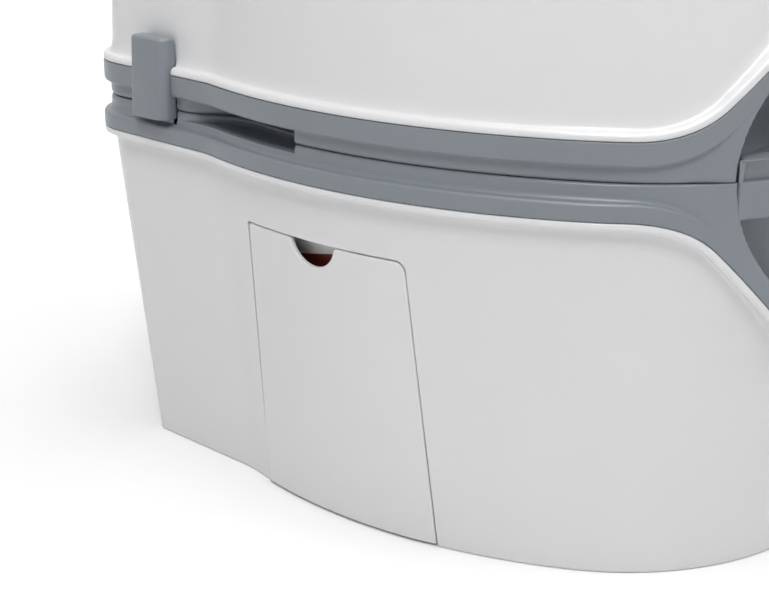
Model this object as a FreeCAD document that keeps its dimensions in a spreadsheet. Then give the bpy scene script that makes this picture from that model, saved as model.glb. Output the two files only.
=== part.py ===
import FreeCAD
import Part
import math
import os
import re
import Sketcher

# Portable toilet: a waste tank below, a flush tank with bowl, seat and lid above
# Millimetres; x across, front at minus y, z up from the floor

SIZES = [
    # Plan outline shared by every moulding
    ("half_depth", 225), ("flank_half_width", 185.5), ("bulge", 9),
    ("bulge_centre_y", 21), ("back_corner_radius", 40), ("waist_radius", 60),
    ("flank_radius", 322), ("cheek_radius", 162), ("nose_radius", 318),
    # Wall and fits used everywhere
    ("wall", 3), ("fit", 0.05), ("clearance", 0.5),
    # Lower jacket and its lip
    ("base_inset", 27.5), ("wall_inset", 6), ("jacket_height", 207), ("lip_height", 4),
    # Grey bands either side of the split
    ("flange_height", 10), ("neck_inset", 7), ("neck_height", 9.5),
    ("upper_neck_height", 8.5), ("upper_flange_height", 13), ("upper_inset", 1),
    ("upper_lip_height", 4), ("apron_inset", 0.5),
    # Curved edges of the grey front
    ("low_sweep_drop", 79), ("low_sweep_x", 114), ("low_sweep_angle", 47),
    ("low_sweep_outer_radius", 38), ("low_sweep_mid_radius", 78),
    ("high_sweep_rise", 70), ("high_sweep_x", 103), ("high_sweep_angle", 50),
    ("high_sweep_outer_radius", 60), ("high_sweep_mid_radius", 60), ("apron_overrun", 20),
    # Front scoop behind the pull handle
    ("scoop_radius", 80), ("scoop_depth", 45), ("scoop_set", 12),
    # Flush tank shell
    ("flush_rise", 156), ("shell_inset_low", 9), ("shell_inset_mid", 10),
    ("shell_inset_high", 14), ("shell_inset_shoulder", 21), ("shell_inset_top", 31),
    ("shell_mid_part", 0.33), ("shell_high_part", 0.73), ("shell_shoulder_part", 0.92),
    # Bowl
    ("bowl_half_width", 96), ("bowl_half_length", 112), ("bowl_set", 44),
    ("bowl_waist_rise", 103.5), ("bowl_waist_taper", 12), ("bowl_foot_rise", 6),
    ("outlet_radius", 45), ("rim_width", 10), ("rim_thickness", 2.5), ("spigot_drop", 2.5),
    ("spigot_lap", 2), ("bowl_waist_part", 0.8),
    # Seat and lid
    ("seat_side_set", 35.5), ("seat_front_set", 35), ("seat_shoulder_y", 95),
    ("seat_neck_step", 50), ("seat_hinge_gap", 17), ("seat_front_radius", 145),
    ("seat_shoulder_radius", 30), ("seat_corner_radius", 12), ("seat_thickness", 14),
    ("seat_opening_margin", 2), ("bumper_height", 2), ("bumper_radius", 6), ("bumper_set", 24),
    ("bumper_neck_set", 7), ("lid_bumper_radius", 5), ("lid_bumper_set", 6),
    ("seat_shoulder_part", 0.9), ("seat_corner_part", 0.4), ("lid_wall_part", 0.55),
    ("lid_gap", 0.8), ("lid_height", 24.7), ("lid_round", 14), ("lid_draft", 2),
    # Hinge of seat and lid
    ("hinge_set", 43), ("hinge_post_x", 70), ("hinge_post_width", 16), ("hinge_post_depth", 20),
    ("hinge_post_round", 5), ("lug_width", 7), ("lug_play", 0.6), ("eye_radius", 6), ("pin_radius", 3),
    ("arm_lap", 6), ("arm_step", 4), ("arm_rise", 3), ("arm_drop", 2),
    ("post_screw_radius", 2), ("post_screw_head", 4), ("post_screw_length", 14),
    ("post_screw_head_height", 2.5),
    # Paper store in the left flank
    ("door_top_z", 172), ("door_back_y", 66.6), ("door_front_y", 56.3), ("door_flare", 7),
    ("door_back_radius", 2), ("door_front_radius", 6), ("door_gap", 0.8),
    ("door_thickness", 2.6), ("door_foot", 1.5), ("notch_y", 8), ("notch_radius", 17.7),
    ("notch_rise", 2.7), ("door_hinge_z", 30), ("door_hinge_set", 6), ("door_pin_radius", 2),
    ("door_lug_width", 5), ("door_lug_half_height", 7), ("door_lug_depth", 5),
    ("lug_sink", 0.7), ("door_ear_gap", 7.5), ("door_pin_edge", 2), ("door_pin_in", 6),
    ("door_pin_out", 12),
    ("bin_floor_z", 42), ("bin_margin", 6), ("bin_depth", 110),
    # Waste tank
    ("tank_gap", 1.5), ("tank_front_set", 75), ("bin_clear", 4), ("seam_drop", 12),
    # Emptying spout in the rear bay
    ("bay_half_width", 108), ("bay_height", 65), ("bay_depth", 77),
    ("window_half_width", 104), ("window_sill", 5), ("window_head", 9), ("window_round", 10),
    ("spout_x", 72), ("spout_set", 47), ("spout_drop", 35), ("spout_radius", 18),
    ("spout_socket_radius", 22), ("spout_bore", 14), ("spout_length", 108),
    ("spout_head", 24), ("spout_neck_height", 8), ("spout_cap_radius", 21.5),
    ("spout_cap_length", 22), ("spout_cap_grip", 12), ("spout_seal_height", 2),
    ("spout_shoulder", 1), ("thread_gap", 0.4),
    ("vent_x", 88), ("vent_radius", 9), ("vent_stem_radius", 4), ("vent_length", 8),
    ("vent_stem_length", 24), ("vent_rise", 7),
    # Valve between bowl and waste tank
    ("valve_height", 16), ("valve_half_width", 62), ("valve_back_y", 56),
    ("valve_front_set", 77), ("blade_rise", 6.5), ("blade_thickness", 2.6),
    ("blade_half_length", 51), ("blade_half_width", 51), ("strip_half_width", 13),
    ("gasket_width", 9), ("gasket_height", 4), ("valve_screw_radius", 2),
    ("valve_screw_head", 4), ("valve_screw_head_height", 2.5), ("valve_screw_set", 5.5),
    ("handle_half_width", 75), ("handle_height", 31), ("handle_drop", 19.5),
    ("handle_depth", 15), ("handle_inset", 1.5), ("handle_play", 1), ("handle_socket", 6),
    ("gasket_room", 5),
    # Side latches and hand grips
    ("latch_y", 146), ("latch_width", 30), ("latch_proud", 6.5), ("latch_thickness", 12.5),
    ("latch_rise", 22), ("latch_foot_rise", 4.5), ("latch_axis_drop", 5.5),
    ("latch_axis_set", 4.5), ("latch_pin_radius", 1.5), ("latch_barrel_radius", 2.4),
    ("latch_gap", 0.6), ("latch_root", 0.9), ("latch_foot_round", 1.5), ("latch_back_round", 3),
    ("latch_top_round", 4), ("latch_pin_reach", 4), ("pocket_skin", 1.5), ("pocket_depth", 4),
    ("keeper_side", 4), ("keeper_back", 2), ("hook_play", 0.8), ("hook_rise", 3),
    ("hook_height", 5), ("hook_reach", 5), ("hook_width", 18),
    ("grip_front_y", 15), ("grip_back_y", 118), ("grip_depth", 18), ("grip_drop", 5),
    # Flush pump and filler on the rear corners
    ("corner_set_x", 56.5), ("corner_set_y", 63), ("corner_flange_radius", 20), ("corner_play", 0.2),
    ("barrel_radius", 16), ("barrel_bore", 13.5), ("barrel_length", 142), ("piston_depth", 104),
    ("piston_height", 12), ("ring_height", 3), ("ring_depth", 2), ("pump_rod_radius", 4),
    ("knob_radius", 19), ("knob_height", 12), ("knob_gap", 1.5), ("knob_round", 3),
    ("knob_socket", 6), ("filler_bore", 13.5), ("filler_radius", 16), ("filler_depth", 24),
    ("filler_flange", 2), ("collar_height", 8), ("cap_radius", 21), ("cap_height", 15),
    ("cap_gap", 0.5), ("cap_round", 2), ("seal_height", 1.5), ("pipe_drop", 20),
    ("pipe_radius", 5), ("pipe_wall", 1.5), ("pipe_reach", 8), ("nozzle_radius", 9),
    ("nozzle_length", 5), ("pipe_sink", 0.5), ("jet_radius", 2.5),
]

# Sizes worked out from the ones above
DERIVED = {
    "bulge_half_width": "flank_half_width + bulge",
    "split_z": "jacket_height + flange_height + neck_height",
    "flange_top_z": "jacket_height + flange_height",
    "upper_flange_z": "split_z + upper_neck_height",
    "upper_lip_z": "upper_flange_z + upper_flange_height",
    "top_z": "upper_lip_z + flush_rise",
    "seat_z": "top_z + rim_thickness + bumper_height",
    "seat_top_z": "seat_z + seat_thickness",
    "lid_z": "seat_top_z + lid_gap",
    "lid_top_z": "lid_z + lid_height",
    "hinge_y": "half_depth - hinge_set",
    "hinge_z": "lid_z + lid_height / 2",
    "seat_half_width": "flank_half_width - seat_side_set",
    "seat_front": "half_depth - seat_front_set",
    "seat_neck_half_width": "seat_half_width - seat_neck_step",
    "seat_back_y": "hinge_y - seat_hinge_gap",
    "low_sweep_z": "jacket_height - low_sweep_drop",
    "low_sweep_mid_x": "low_sweep_x - low_sweep_drop / tan(low_sweep_angle)",
    "high_sweep_z": "upper_lip_z + high_sweep_rise",
    "high_sweep_mid_x": "high_sweep_x - high_sweep_rise / tan(high_sweep_angle)",
    "scoop_y": "-half_depth + scoop_set",
    "bowl_waist_z": "split_z + bowl_waist_rise",
    "spigot_z": "split_z - spigot_drop",
    "valve_top_z": "spigot_z - gasket_height",
    "tank_top_z": "valve_top_z - valve_height",
    "blade_z": "tank_top_z + blade_rise",
    "valve_front": "half_depth - valve_front_set",
    "handle_back": "half_depth - handle_inset - handle_depth",
    "tank_front": "half_depth - tank_front_set",
    "bay_front_y": "half_depth - bay_depth",
    "bay_floor_z": "jacket_height - bay_height",
    "spout_y": "half_depth - spout_set",
    "spout_z": "jacket_height - spout_drop",
    "spout_base_z": "bay_floor_z + spout_neck_height + spout_seal_height",
    "window_low_z": "bay_floor_z + window_sill",
    "window_high_z": "jacket_height - window_head",
    "seam_z": "bay_floor_z - seam_drop",
    "latch_foot_z": "flange_top_z + latch_foot_rise",
    "latch_top_z": "upper_lip_z + latch_rise",
    "latch_axis_z": "flange_top_z - latch_axis_drop",
    "latch_axis_x": "-flank_half_width + latch_axis_set",
    "latch_inner_x": "-flank_half_width - latch_proud + latch_thickness",
    "hook_z": "upper_flange_z + hook_rise",
    "neck_x": "flank_half_width - neck_inset",
    "corner_x": "flank_half_width - corner_set_x",
    "corner_y": "half_depth - corner_set_y",
    "pipe_z": "top_z - pipe_drop",
    "bin_back_x": "-bulge_half_width + base_inset + bin_depth",
    "bin_front_y": "-door_front_y - door_flare - bin_margin",
    "bin_back_y": "door_back_y + door_flare + bin_margin",
    "bin_top_z": "door_top_z + bin_margin",
}

FAR = "300"
ABOVE = "top_z + 60"
AXIS = {"x": FreeCAD.Rotation(FreeCAD.Vector(0, 1, 0), 90),
        "y": FreeCAD.Rotation(FreeCAD.Vector(1, 0, 0), -90),
        "z": FreeCAD.Rotation()}
# Sketch planes: the plan, the front view and the side view
PLAN = FreeCAD.Rotation()
FRONT = FreeCAD.Rotation(FreeCAD.Vector(1, 0, 0), 90)
SIDE = FreeCAD.Rotation(FreeCAD.Vector(1, 1, 1), 120)

doc = FreeCAD.newDocument("portable_toilet")
sheet = doc.addObject("Spreadsheet::Sheet", "sizes")
pieces = []


def fill_sheet():
    """Write every driving size to its own named cell."""
    for row, (alias, value) in enumerate(SIZES, 1):
        sheet.set("A%d" % row, alias)
        sheet.set("B%d" % row, str(value))
        sheet.setAlias("B%d" % row, alias)
    doc.recompute()


ALIASES = {alias for alias, value in SIZES}


def full(text):
    """Open the worked-out sizes and name the sheet before each cell."""
    def swap(match):
        word = match.group(0)
        if word in DERIVED:
            return "(" + full(DERIVED[word]) + ")"
        return "sizes." + word if word in ALIASES else word
    return re.sub(r"[a-z_][a-z_0-9]*", swap, text)


def number(text):
    """Value of an expression on the sheet."""
    return float(sheet.evalExpression(full(text)))


def bind(obj, **expressions):
    """Tie properties to expressions on the sheet."""
    for name, text in expressions.items():
        obj.setExpression(name, full(text))
    return obj


def place(obj, x="0", y="0", z="0", turn=PLAN):
    """Put an object at a point given by expressions."""
    obj.Placement = FreeCAD.Placement(FreeCAD.Vector(number(x), number(y), number(z)), turn)
    for axis, text in (("x", x), ("y", y), ("z", z)):
        obj.setExpression("Placement.Base." + axis, full(text))
    return obj


def block(name, x, y, z):
    """Box between pairs of expressions."""
    obj = doc.addObject("Part::Box", name)
    bind(obj, Length="(%s) - (%s)" % (x[1], x[0]), Width="(%s) - (%s)" % (y[1], y[0]),
         Height="(%s) - (%s)" % (z[1], z[0]))
    return place(obj, x[0], y[0], z[0])


def rod(name, radius, length, x, y, z, axis="z"):
    """Cylinder from a point along an axis."""
    obj = doc.addObject("Part::Cylinder", name)
    bind(obj, Radius=radius, Height=length)
    return place(obj, x, y, z, AXIS[axis])


def slanted_rod(name, radius, start, end):
    """Cylinder between two points worked out from the sizes."""
    obj = doc.addObject("Part::Cylinder", name)
    bind(obj, Radius=radius)
    obj.Height = (end - start).Length
    obj.Placement = FreeCAD.Placement(start, FreeCAD.Rotation(FreeCAD.Vector(0, 0, 1), end - start))
    return obj


def cut(base, *tools):
    """Take each tool out of the base."""
    for tool in tools:
        result = doc.addObject("Part::Cut", "cut")
        result.Base = base
        result.Tool = tool
        base = result
    return base


def fuse(*parts):
    """Join solids."""
    result = doc.addObject("Part::MultiFuse", "joined")
    result.Shapes = list(parts)
    return result


def common(first, second):
    """Keep what two solids share."""
    result = doc.addObject("Part::Common", "shared")
    result.Base = first
    result.Tool = second
    return result


def mirrored(source):
    """The same solid on the other flank."""
    result = doc.addObject("Part::Mirroring", "mirrored")
    result.Source = source
    result.Normal = FreeCAD.Vector(1, 0, 0)
    return result


def pair(source):
    """A solid and its mirror image as one."""
    return fuse(source, mirrored(source))


def group(*parts):
    """Separate solids of one kind kept as one piece."""
    result = doc.addObject("Part::Compound", "group")
    result.Links = list(parts)
    return result


def loft(*sections, ruled=True):
    """Solid through closed sketches."""
    result = doc.addObject("Part::Loft", "loft")
    result.Sections = list(sections)
    result.Solid = True
    result.Ruled = ruled
    return result


def prism(sketch, length):
    """Solid straight up from a sketch."""
    result = doc.addObject("Part::Extrusion", "prism")
    result.Base = sketch
    result.DirMode = "Normal"
    result.Solid = True
    return bind(result, LengthFwd=length)


def piece(label, obj):
    """Name a finished sub-part."""
    obj.Label = label
    pieces.append(obj)
    return obj


def constrain(sketch, name, text, kind, *where):
    """Add a dimension tied to the sheet."""
    index = sketch.addConstraint(Sketcher.Constraint(kind, *where, number(text)))
    sketch.renameConstraint(index, name)
    sketch.setExpression("Constraints." + name, full(text))


def arc(centre, radius, start, end):
    """Arc between two angles in radians."""
    circle = Part.Circle(FreeCAD.Vector(centre[0], centre[1], 0), FreeCAD.Vector(0, 0, 1), radius)
    return Part.ArcOfCircle(circle, start, end)


def line(start, end):
    """Straight edge of a sketch."""
    return Part.LineSegment(FreeCAD.Vector(start[0], start[1], 0), FreeCAD.Vector(end[0], end[1], 0))


def meeting_of_circles(first, first_radius, second, second_radius):
    """The meeting point of two circles that lies further left and forward."""
    dx = second[0] - first[0]
    dy = second[1] - first[1]
    gap = math.hypot(dx, dy)
    along = (first_radius ** 2 - second_radius ** 2 + gap ** 2) / (2 * gap)
    side = math.sqrt(first_radius ** 2 - along ** 2)
    middle = (first[0] + along * dx / gap, first[1] + along * dy / gap)
    points = [(middle[0] + s * side * dy / gap, middle[1] - s * side * dx / gap) for s in (1, -1)]
    return min(points, key=lambda point: point[0] + point[1])


def plan_centres(nose_out):
    """Centres of the left-hand arcs of the plan outline; the nose may stand further out."""
    flank = number("flank_half_width")
    step = number("bulge")
    big = number("flank_radius")
    waist = number("waist_radius")
    centre_y = number("bulge_centre_y")
    side = (number("flank_radius - bulge_half_width"), centre_y)
    nose = (0.0, number("nose_radius - half_depth"))
    rise = math.sqrt(2 * (big + waist) * step - step ** 2)
    jog = (-flank - waist, centre_y + rise)
    cheek_radius = number("cheek_radius")
    nose_reach = number("nose_radius") - cheek_radius + nose_out
    cheek = meeting_of_circles(side, big - cheek_radius, nose, nose_reach)
    corner = (number("back_corner_radius") - flank, number("half_depth - back_corner_radius"))
    return side, nose, jog, cheek, corner


def plan_edges(inset, nose_inset):
    """Edges of the plan outline moved inwards, by another distance at the nose."""
    side, nose, jog, cheek, corner = plan_centres(inset - nose_inset)
    turn = math.pi
    jog_angle = math.atan2(side[1] - jog[1], side[0] - jog[0])
    low = math.atan2(cheek[1] - side[1], cheek[0] - side[0]) % (2 * turn)
    front = math.atan2(cheek[1] - nose[1], cheek[0] - nose[0]) % (2 * turn)
    flank = number("flank_half_width") - inset
    back = number("half_depth") - inset
    corner_r = number("back_corner_radius") - inset
    waist_r = number("waist_radius") + inset
    flank_r = number("flank_radius") - inset
    cheek_r = number("cheek_radius") - inset
    nose_r = number("nose_radius") - nose_inset
    right = [(-point[0], point[1]) for point in (side, jog, cheek, corner)]
    return [line((right[3][0], back), (corner[0], back)),
            arc(corner, corner_r, turn / 2, turn),
            line((-flank, corner[1]), (-flank, jog[1])),
            arc(jog, waist_r, jog_angle, 0.0),
            arc(side, flank_r, turn + jog_angle, low),
            arc(cheek, cheek_r, low, front),
            arc(nose, nose_r, front, 3 * turn - front),
            arc(right[2], cheek_r, 3 * turn - front, 3 * turn - low),
            arc(right[0], flank_r, 3 * turn - low, 2 * turn - jog_angle),
            arc(right[1], waist_r, turn, turn - jog_angle),
            line((flank, jog[1]), (flank, corner[1])),
            arc(right[3], corner_r, 0.0, turn / 2)]


# Which end of which edge meets which in the plan outline
PLAN_JOINTS = [(0, 2, 1, 1), (1, 2, 2, 1), (2, 2, 3, 2), (3, 1, 4, 1), (4, 2, 5, 1), (5, 2, 6, 1),
               (6, 2, 7, 1), (7, 2, 8, 1), (8, 2, 9, 2), (9, 1, 10, 1), (10, 2, 11, 1), (11, 2, 0, 1)]


def outline(inset, z, nose_inset=None):
    """Plan outline at a height, moved inwards, by another distance at the nose if given."""
    sketch = doc.addObject("Sketcher::SketchObject", "outline")
    nose_inset = nose_inset or inset
    sketch.addGeometry(plan_edges(number(inset), number(nose_inset)), False)
    for joint in PLAN_JOINTS:
        sketch.addConstraint(Sketcher.Constraint("Tangent", *joint))
    sketch.addConstraint(Sketcher.Constraint("Horizontal", 0))
    sketch.addConstraint(Sketcher.Constraint("Vertical", 2))
    sketch.addConstraint(Sketcher.Constraint("Vertical", 10))
    for first, second in ((1, 11), (3, 9), (4, 8), (5, 7)):
        sketch.addConstraint(Sketcher.Constraint("Equal", first, second))
    sketch.addConstraint(Sketcher.Constraint("PointOnObject", 6, 3, -2))
    constrain(sketch, "corner", "back_corner_radius - (%s)" % inset, "Radius", 1)
    constrain(sketch, "waist", "waist_radius + (%s)" % inset, "Radius", 3)
    constrain(sketch, "flank", "flank_radius - (%s)" % inset, "Radius", 4)
    constrain(sketch, "cheek", "cheek_radius - (%s)" % inset, "Radius", 5)
    constrain(sketch, "nose", "nose_radius - (%s)" % nose_inset, "Radius", 6)
    constrain(sketch, "left", "flank_half_width - (%s)" % inset, "DistanceX", 2, 1, -1, 1)
    constrain(sketch, "right", "flank_half_width - (%s)" % inset, "DistanceX", -1, 1, 10, 1)
    constrain(sketch, "back", "half_depth - (%s)" % inset, "DistanceY", -1, 1, 0, 1)
    constrain(sketch, "nose_y", "nose_radius - half_depth", "DistanceY", -1, 1, 6, 3)
    for geometry, side in ((4, "left"), (8, "right")):
        ends = (-1, 1, geometry, 3) if side == "left" else (geometry, 3, -1, 1)
        constrain(sketch, side + "_bulge", "flank_radius - bulge_half_width", "DistanceX", *ends)
        constrain(sketch, side + "_bulge_y", "bulge_centre_y", "DistanceY", -1, 1, geometry, 3)
    return place(sketch, "0", "0", z)


def corner_cuts(points, radii):
    """Where each corner's arc begins and ends, and its centre."""
    cuts = []
    count = len(points)
    for i, radius in enumerate(radii):
        here = FreeCAD.Vector(*points[i], 0)
        back = (FreeCAD.Vector(*points[i - 1], 0) - here).normalize()
        ahead = (FreeCAD.Vector(*points[(i + 1) % count], 0) - here).normalize()
        half = back.getAngle(ahead) / 2
        reach = radius / math.tan(half)
        bisector = (back + ahead).normalize()
        cuts.append((here + back * reach, here + ahead * reach, here + bisector * (radius / math.sin(half))))
    return cuts


def rounded(vertices, x="0", y="0", z="0", turn=PLAN):
    """Closed sketch through corners (x, y, radius), every one tied to the sheet."""
    sketch = doc.addObject("Sketcher::SketchObject", "profile")
    points = [(number(px), number(py)) for px, py, radius in vertices]
    radii = [number(radius) for px, py, radius in vertices]
    cuts = corner_cuts(points, radii)
    count = len(points)
    for i in range(count):
        sketch.addGeometry(line(cuts[i][1], cuts[(i + 1) % count][0]), False)
    for i in range(count):
        round_corner(sketch, i, (i - 1) % count, cuts[i], radii[i], vertices[i])
    return place(sketch, x, y, z, turn)


def round_corner(sketch, after, before, cuts, radius, vertex):
    """Join two edges of a sketch at a corner, with an arc where it has a radius."""
    px, py, radius_text = vertex
    if radius <= 0:
        sketch.addConstraint(Sketcher.Constraint("Coincident", before, 2, after, 1))
        constrain(sketch, "x_%d" % after, px, "DistanceX", -1, 1, after, 1)
        constrain(sketch, "y_%d" % after, py, "DistanceY", -1, 1, after, 1)
        return
    start, end, centre = cuts
    first = math.atan2(start.y - centre.y, start.x - centre.x)
    last = math.atan2(end.y - centre.y, end.x - centre.x)
    forward = (last - first) % (2 * math.pi) < math.pi
    angles = (first, last) if forward else (last, first)
    edge = sketch.addGeometry(arc((centre.x, centre.y), radius, *angles), False)
    sketch.addConstraint(Sketcher.Constraint("Tangent", before, 2, edge, 1 if forward else 2))
    sketch.addConstraint(Sketcher.Constraint("Tangent", edge, 2 if forward else 1, after, 1))
    point = sketch.addGeometry(Part.Point(FreeCAD.Vector(number(px), number(py), 0)), True)
    sketch.addConstraint(Sketcher.Constraint("PointOnObject", point, 1, before))
    sketch.addConstraint(Sketcher.Constraint("PointOnObject", point, 1, after))
    constrain(sketch, "r_%d" % after, radius_text, "Radius", edge)
    constrain(sketch, "x_%d" % after, px, "DistanceX", -1, 1, point, 1)
    constrain(sketch, "y_%d" % after, py, "DistanceY", -1, 1, point, 1)


def oval(half_width, half_length, y, z):
    """Oval with full-round ends, at a height."""
    radius = "0.98 * min(%s, %s)" % (half_width, half_length)
    corners = [("-(%s)", "-(%s)"), ("%s", "-(%s)"), ("%s", "%s"), ("-(%s)", "%s")]
    vertices = [(px % half_width, py % half_length, radius) for px, py in corners]
    return rounded(vertices, "0", y, z)


def turned(points, x="0", y="0", z="0", turn=PLAN):
    """Body turned about its own axis from a profile of (radius, height)."""
    body = doc.addObject("PartDesign::Body", "turned")
    sketch = body.newObject("Sketcher::SketchObject", "section")
    plane = [item for item in body.Origin.OriginFeatures if item.Role == "XZ_Plane"][0]
    sketch.AttachmentSupport = [(plane, "")]
    sketch.MapMode = "FlatFace"
    count = len(points)
    values = [(number(px), number(py)) for px, py in points]
    for i in range(count):
        sketch.addGeometry(line(values[i], values[(i + 1) % count]), False)
    for i, (px, py) in enumerate(points):
        sketch.addConstraint(Sketcher.Constraint("Coincident", (i - 1) % count, 2, i, 1))
        constrain(sketch, "r_%d" % i, px, "DistanceX", -1, 1, i, 1)
        constrain(sketch, "z_%d" % i, py, "DistanceY", -1, 1, i, 1)
    doc.recompute()
    feature = body.newObject("PartDesign::Revolution", "revolve")
    feature.Profile = sketch
    feature.ReferenceAxis = (sketch, ["V_Axis"])
    feature.Angle = 360
    body.Tip = feature
    return place(body, x, y, z, turn)


def sweep_region(kind, shift):
    """Everything above the curved edge of the lower (low) or upper (high) grey front."""
    side_z = "jacket_height" if kind == "low" else "upper_lip_z"
    sign = "-" if kind == "low" else "+"
    other = "+" if kind == "low" else "-"
    lean = "(%s) * tan(%s_sweep_angle / 2)" % (shift, kind)
    outer_x = "%s_sweep_x %s %s" % (kind, sign, lean)
    mid_x = "%s_sweep_mid_x %s %s" % (kind, sign, lean)
    side = "%s + (%s)" % (side_z, shift)
    middle = "%s_sweep_z + (%s)" % (kind, shift)
    outer_r = "%s_sweep_outer_radius %s (%s)" % (kind, other, shift)
    mid_r = "%s_sweep_mid_radius %s (%s)" % (kind, sign, shift)
    sketch = rounded([("-" + FAR, side, "0"), ("-(%s)" % outer_x, side, outer_r),
                      ("-(%s)" % mid_x, middle, mid_r), (mid_x, middle, mid_r),
                      (outer_x, side, outer_r), (FAR, side, "0"),
                      (FAR, ABOVE, "0"), ("-" + FAR, ABOVE, "0")], turn=FRONT)
    front = prism(sketch, FAR)
    rear = block("behind", ("-" + FAR, FAR), ("0", FAR), (side, ABOVE))
    return fuse(front, rear)


def jacket_loft(extra):
    """Tapered solid inside the lower wall, moved inwards by a distance."""
    return loft(outline("base_inset + (%s)" % extra, "0"),
                outline("wall_inset + (%s)" % extra, "jacket_height"))


def scoop(extra):
    """Hollow behind the pull handle, larger by a distance."""
    ball = doc.addObject("Part::Ellipsoid", "scoop")
    bind(ball, Radius1="scoop_radius + (%s)" % extra, Radius2="scoop_radius + (%s)" % extra,
         Radius3="scoop_depth + (%s)" % extra)
    return place(ball, "0", "scoop_y", "split_z")


def flank_x(y, z):
    """Where the lower wall's outside lies on the left bulge, at a depth and a height."""
    inset = "(base_inset - (base_inset - wall_inset) * (%s) / jacket_height)" % z
    radius = "(flank_radius - %s)" % inset
    drop = "sqrt(%s ^ 2 - ((%s) - bulge_centre_y) ^ 2)" % (radius, y)
    return "(flank_radius - bulge_half_width - %s)" % drop


def door_region(gap, foot):
    """Opening in the left flank for the paper door, made smaller by a gap."""
    slope = "door_flare / door_top_z"
    top = "door_top_z - (%s)" % gap
    back = "door_back_y - (%s)" % gap
    front = "-door_front_y + (%s)" % gap
    drop = "(%s - (%s)) * %s" % (top, foot, slope)
    sketch = rounded([("%s - %s" % (front, drop), foot, "0"),
                      ("%s + %s" % (back, drop), foot, "0"),
                      (back, top, "door_back_radius"), (front, top, "door_front_radius")],
                     "-" + FAR, "0", "0", SIDE)
    return prism(sketch, FAR + " - bulge_half_width / 2")


def door_hinge_points():
    """Two points on the door's hinge line, just outside its back and front edges."""
    points = []
    for y in ("door_back_y + door_pin_edge", "-door_front_y - door_pin_edge"):
        x = flank_x(y, "door_hinge_z") + " + door_hinge_set"
        points.append(FreeCAD.Vector(number(x), number(y), number("door_hinge_z")))
    return points


def door_pin(end, radius, inward, outward):
    """Hinge pin on the door's hinge line at one end, reaching both ways from the edge."""
    points = door_hinge_points()
    start = points[end]
    along = (points[1 - end] - start).normalize()
    return slanted_rod("door_pin", radius, start - along * number(outward),
                       start + along * number(inward))


def hinge_lug(y_from, y_to):
    """Small block behind the lower wall to carry a door pin."""
    skin = flank_x("(%s + %s) / 2" % (y_from, y_to), "door_hinge_z")
    return block("lug", (skin + " + door_thickness - lug_sink",
                         skin + " + door_hinge_set + door_lug_depth"), (y_from, y_to),
                 ("door_hinge_z - door_lug_half_height", "door_hinge_z + door_lug_half_height"))


def rear_window():
    """Opening in the rear wall to reach the spout."""
    left = "-window_half_width"
    right = "window_half_width"
    sketch = rounded([(left, "window_low_z", "window_round"), (right, "window_low_z", "window_round"),
                      (right, "window_high_z", "window_round"), (left, "window_high_z", "window_round")],
                     "0", FAR, "0", FRONT)
    return prism(sketch, FAR + " - bay_front_y")


def build_jacket(low, lip_region):
    """White lower shell with its lip, door opening and rear window."""
    inside = jacket_loft("wall")
    tube = cut(jacket_loft("0"), inside, low)
    column = prism(outline("0", "low_sweep_z - apron_overrun"), "low_sweep_drop + 2 * apron_overrun")
    lip = cut(common(column, lip_region), low, inside)
    back_ear = hinge_lug("door_back_y + door_ear_gap", "door_back_y + door_ear_gap + door_lug_width")
    front_ear = hinge_lug("-door_front_y - door_ear_gap - door_lug_width", "-door_front_y - door_ear_gap")
    shell = cut(fuse(tube, lip), door_region("0", "-door_foot"), rear_window())
    pins = [door_pin(end, "door_pin_radius", "door_pin_in", "door_pin_out") for end in (0, 1)]
    piece("lower_shell", cut(fuse(shell, back_ear, front_ear), *pins))


def build_door():
    """Paper door with its finger notch, and the two pins it tilts on."""
    skin = cut(jacket_loft("0"), jacket_loft("door_thickness"))
    panel = common(skin, door_region("door_gap", "door_foot"))
    notch = rod("notch", "notch_radius", FAR, "-" + FAR, "notch_y", "door_top_z + notch_rise", "x")
    lugs = [hinge_lug("door_back_y - door_lug_width", "door_back_y"),
            hinge_lug("-door_front_y", "-door_front_y + door_lug_width")]
    holes = [door_pin(end, "door_pin_radius + fit", "door_pin_in + door_lug_width", "door_pin_out")
             for end in (0, 1)]
    piece("paper_door", cut(fuse(cut(panel, notch), *lugs), *holes))
    pins = [door_pin(end, "door_pin_radius", "door_pin_in", "door_pin_out") for end in (0, 1)]
    piece("door_pins", group(*pins))


def build_bin():
    """Open box behind the door for the paper roll."""
    outside = block("bin", ("-" + FAR, "bin_back_x"), ("bin_front_y", "bin_back_y"),
                    ("bin_floor_z", "bin_top_z"))
    inside = block("room", ("-" + FAR, "bin_back_x - wall"),
                   ("bin_front_y + wall", "bin_back_y - wall"),
                   ("bin_floor_z + wall", "bin_top_z - wall"))
    piece("paper_bin", common(cut(outside, inside), jacket_loft("wall")))


def tank_solid(extra):
    """Room taken by the waste tank, made smaller all round by a distance."""
    body = jacket_loft("wall + tank_gap + (%s)" % extra)
    limits = block("limits", ("-" + FAR, FAR), ("-tank_front + (%s)" % extra, FAR),
                   (extra, "tank_top_z - (%s)" % extra))
    room = "bin_clear + (%s)" % extra
    paper = block("paper", ("-" + FAR, "bin_back_x + " + room),
                  ("bin_front_y - (%s)" % room, "bin_back_y + " + room),
                  ("-" + FAR, "bin_top_z + " + room))
    bay = block("bay", ("-bay_half_width - (%s)" % extra, "bay_half_width + (%s)" % extra),
                ("bay_front_y - (%s)" % extra, FAR), ("bay_floor_z - (%s)" % extra, FAR))
    return cut(common(body, limits), paper, bay)


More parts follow.
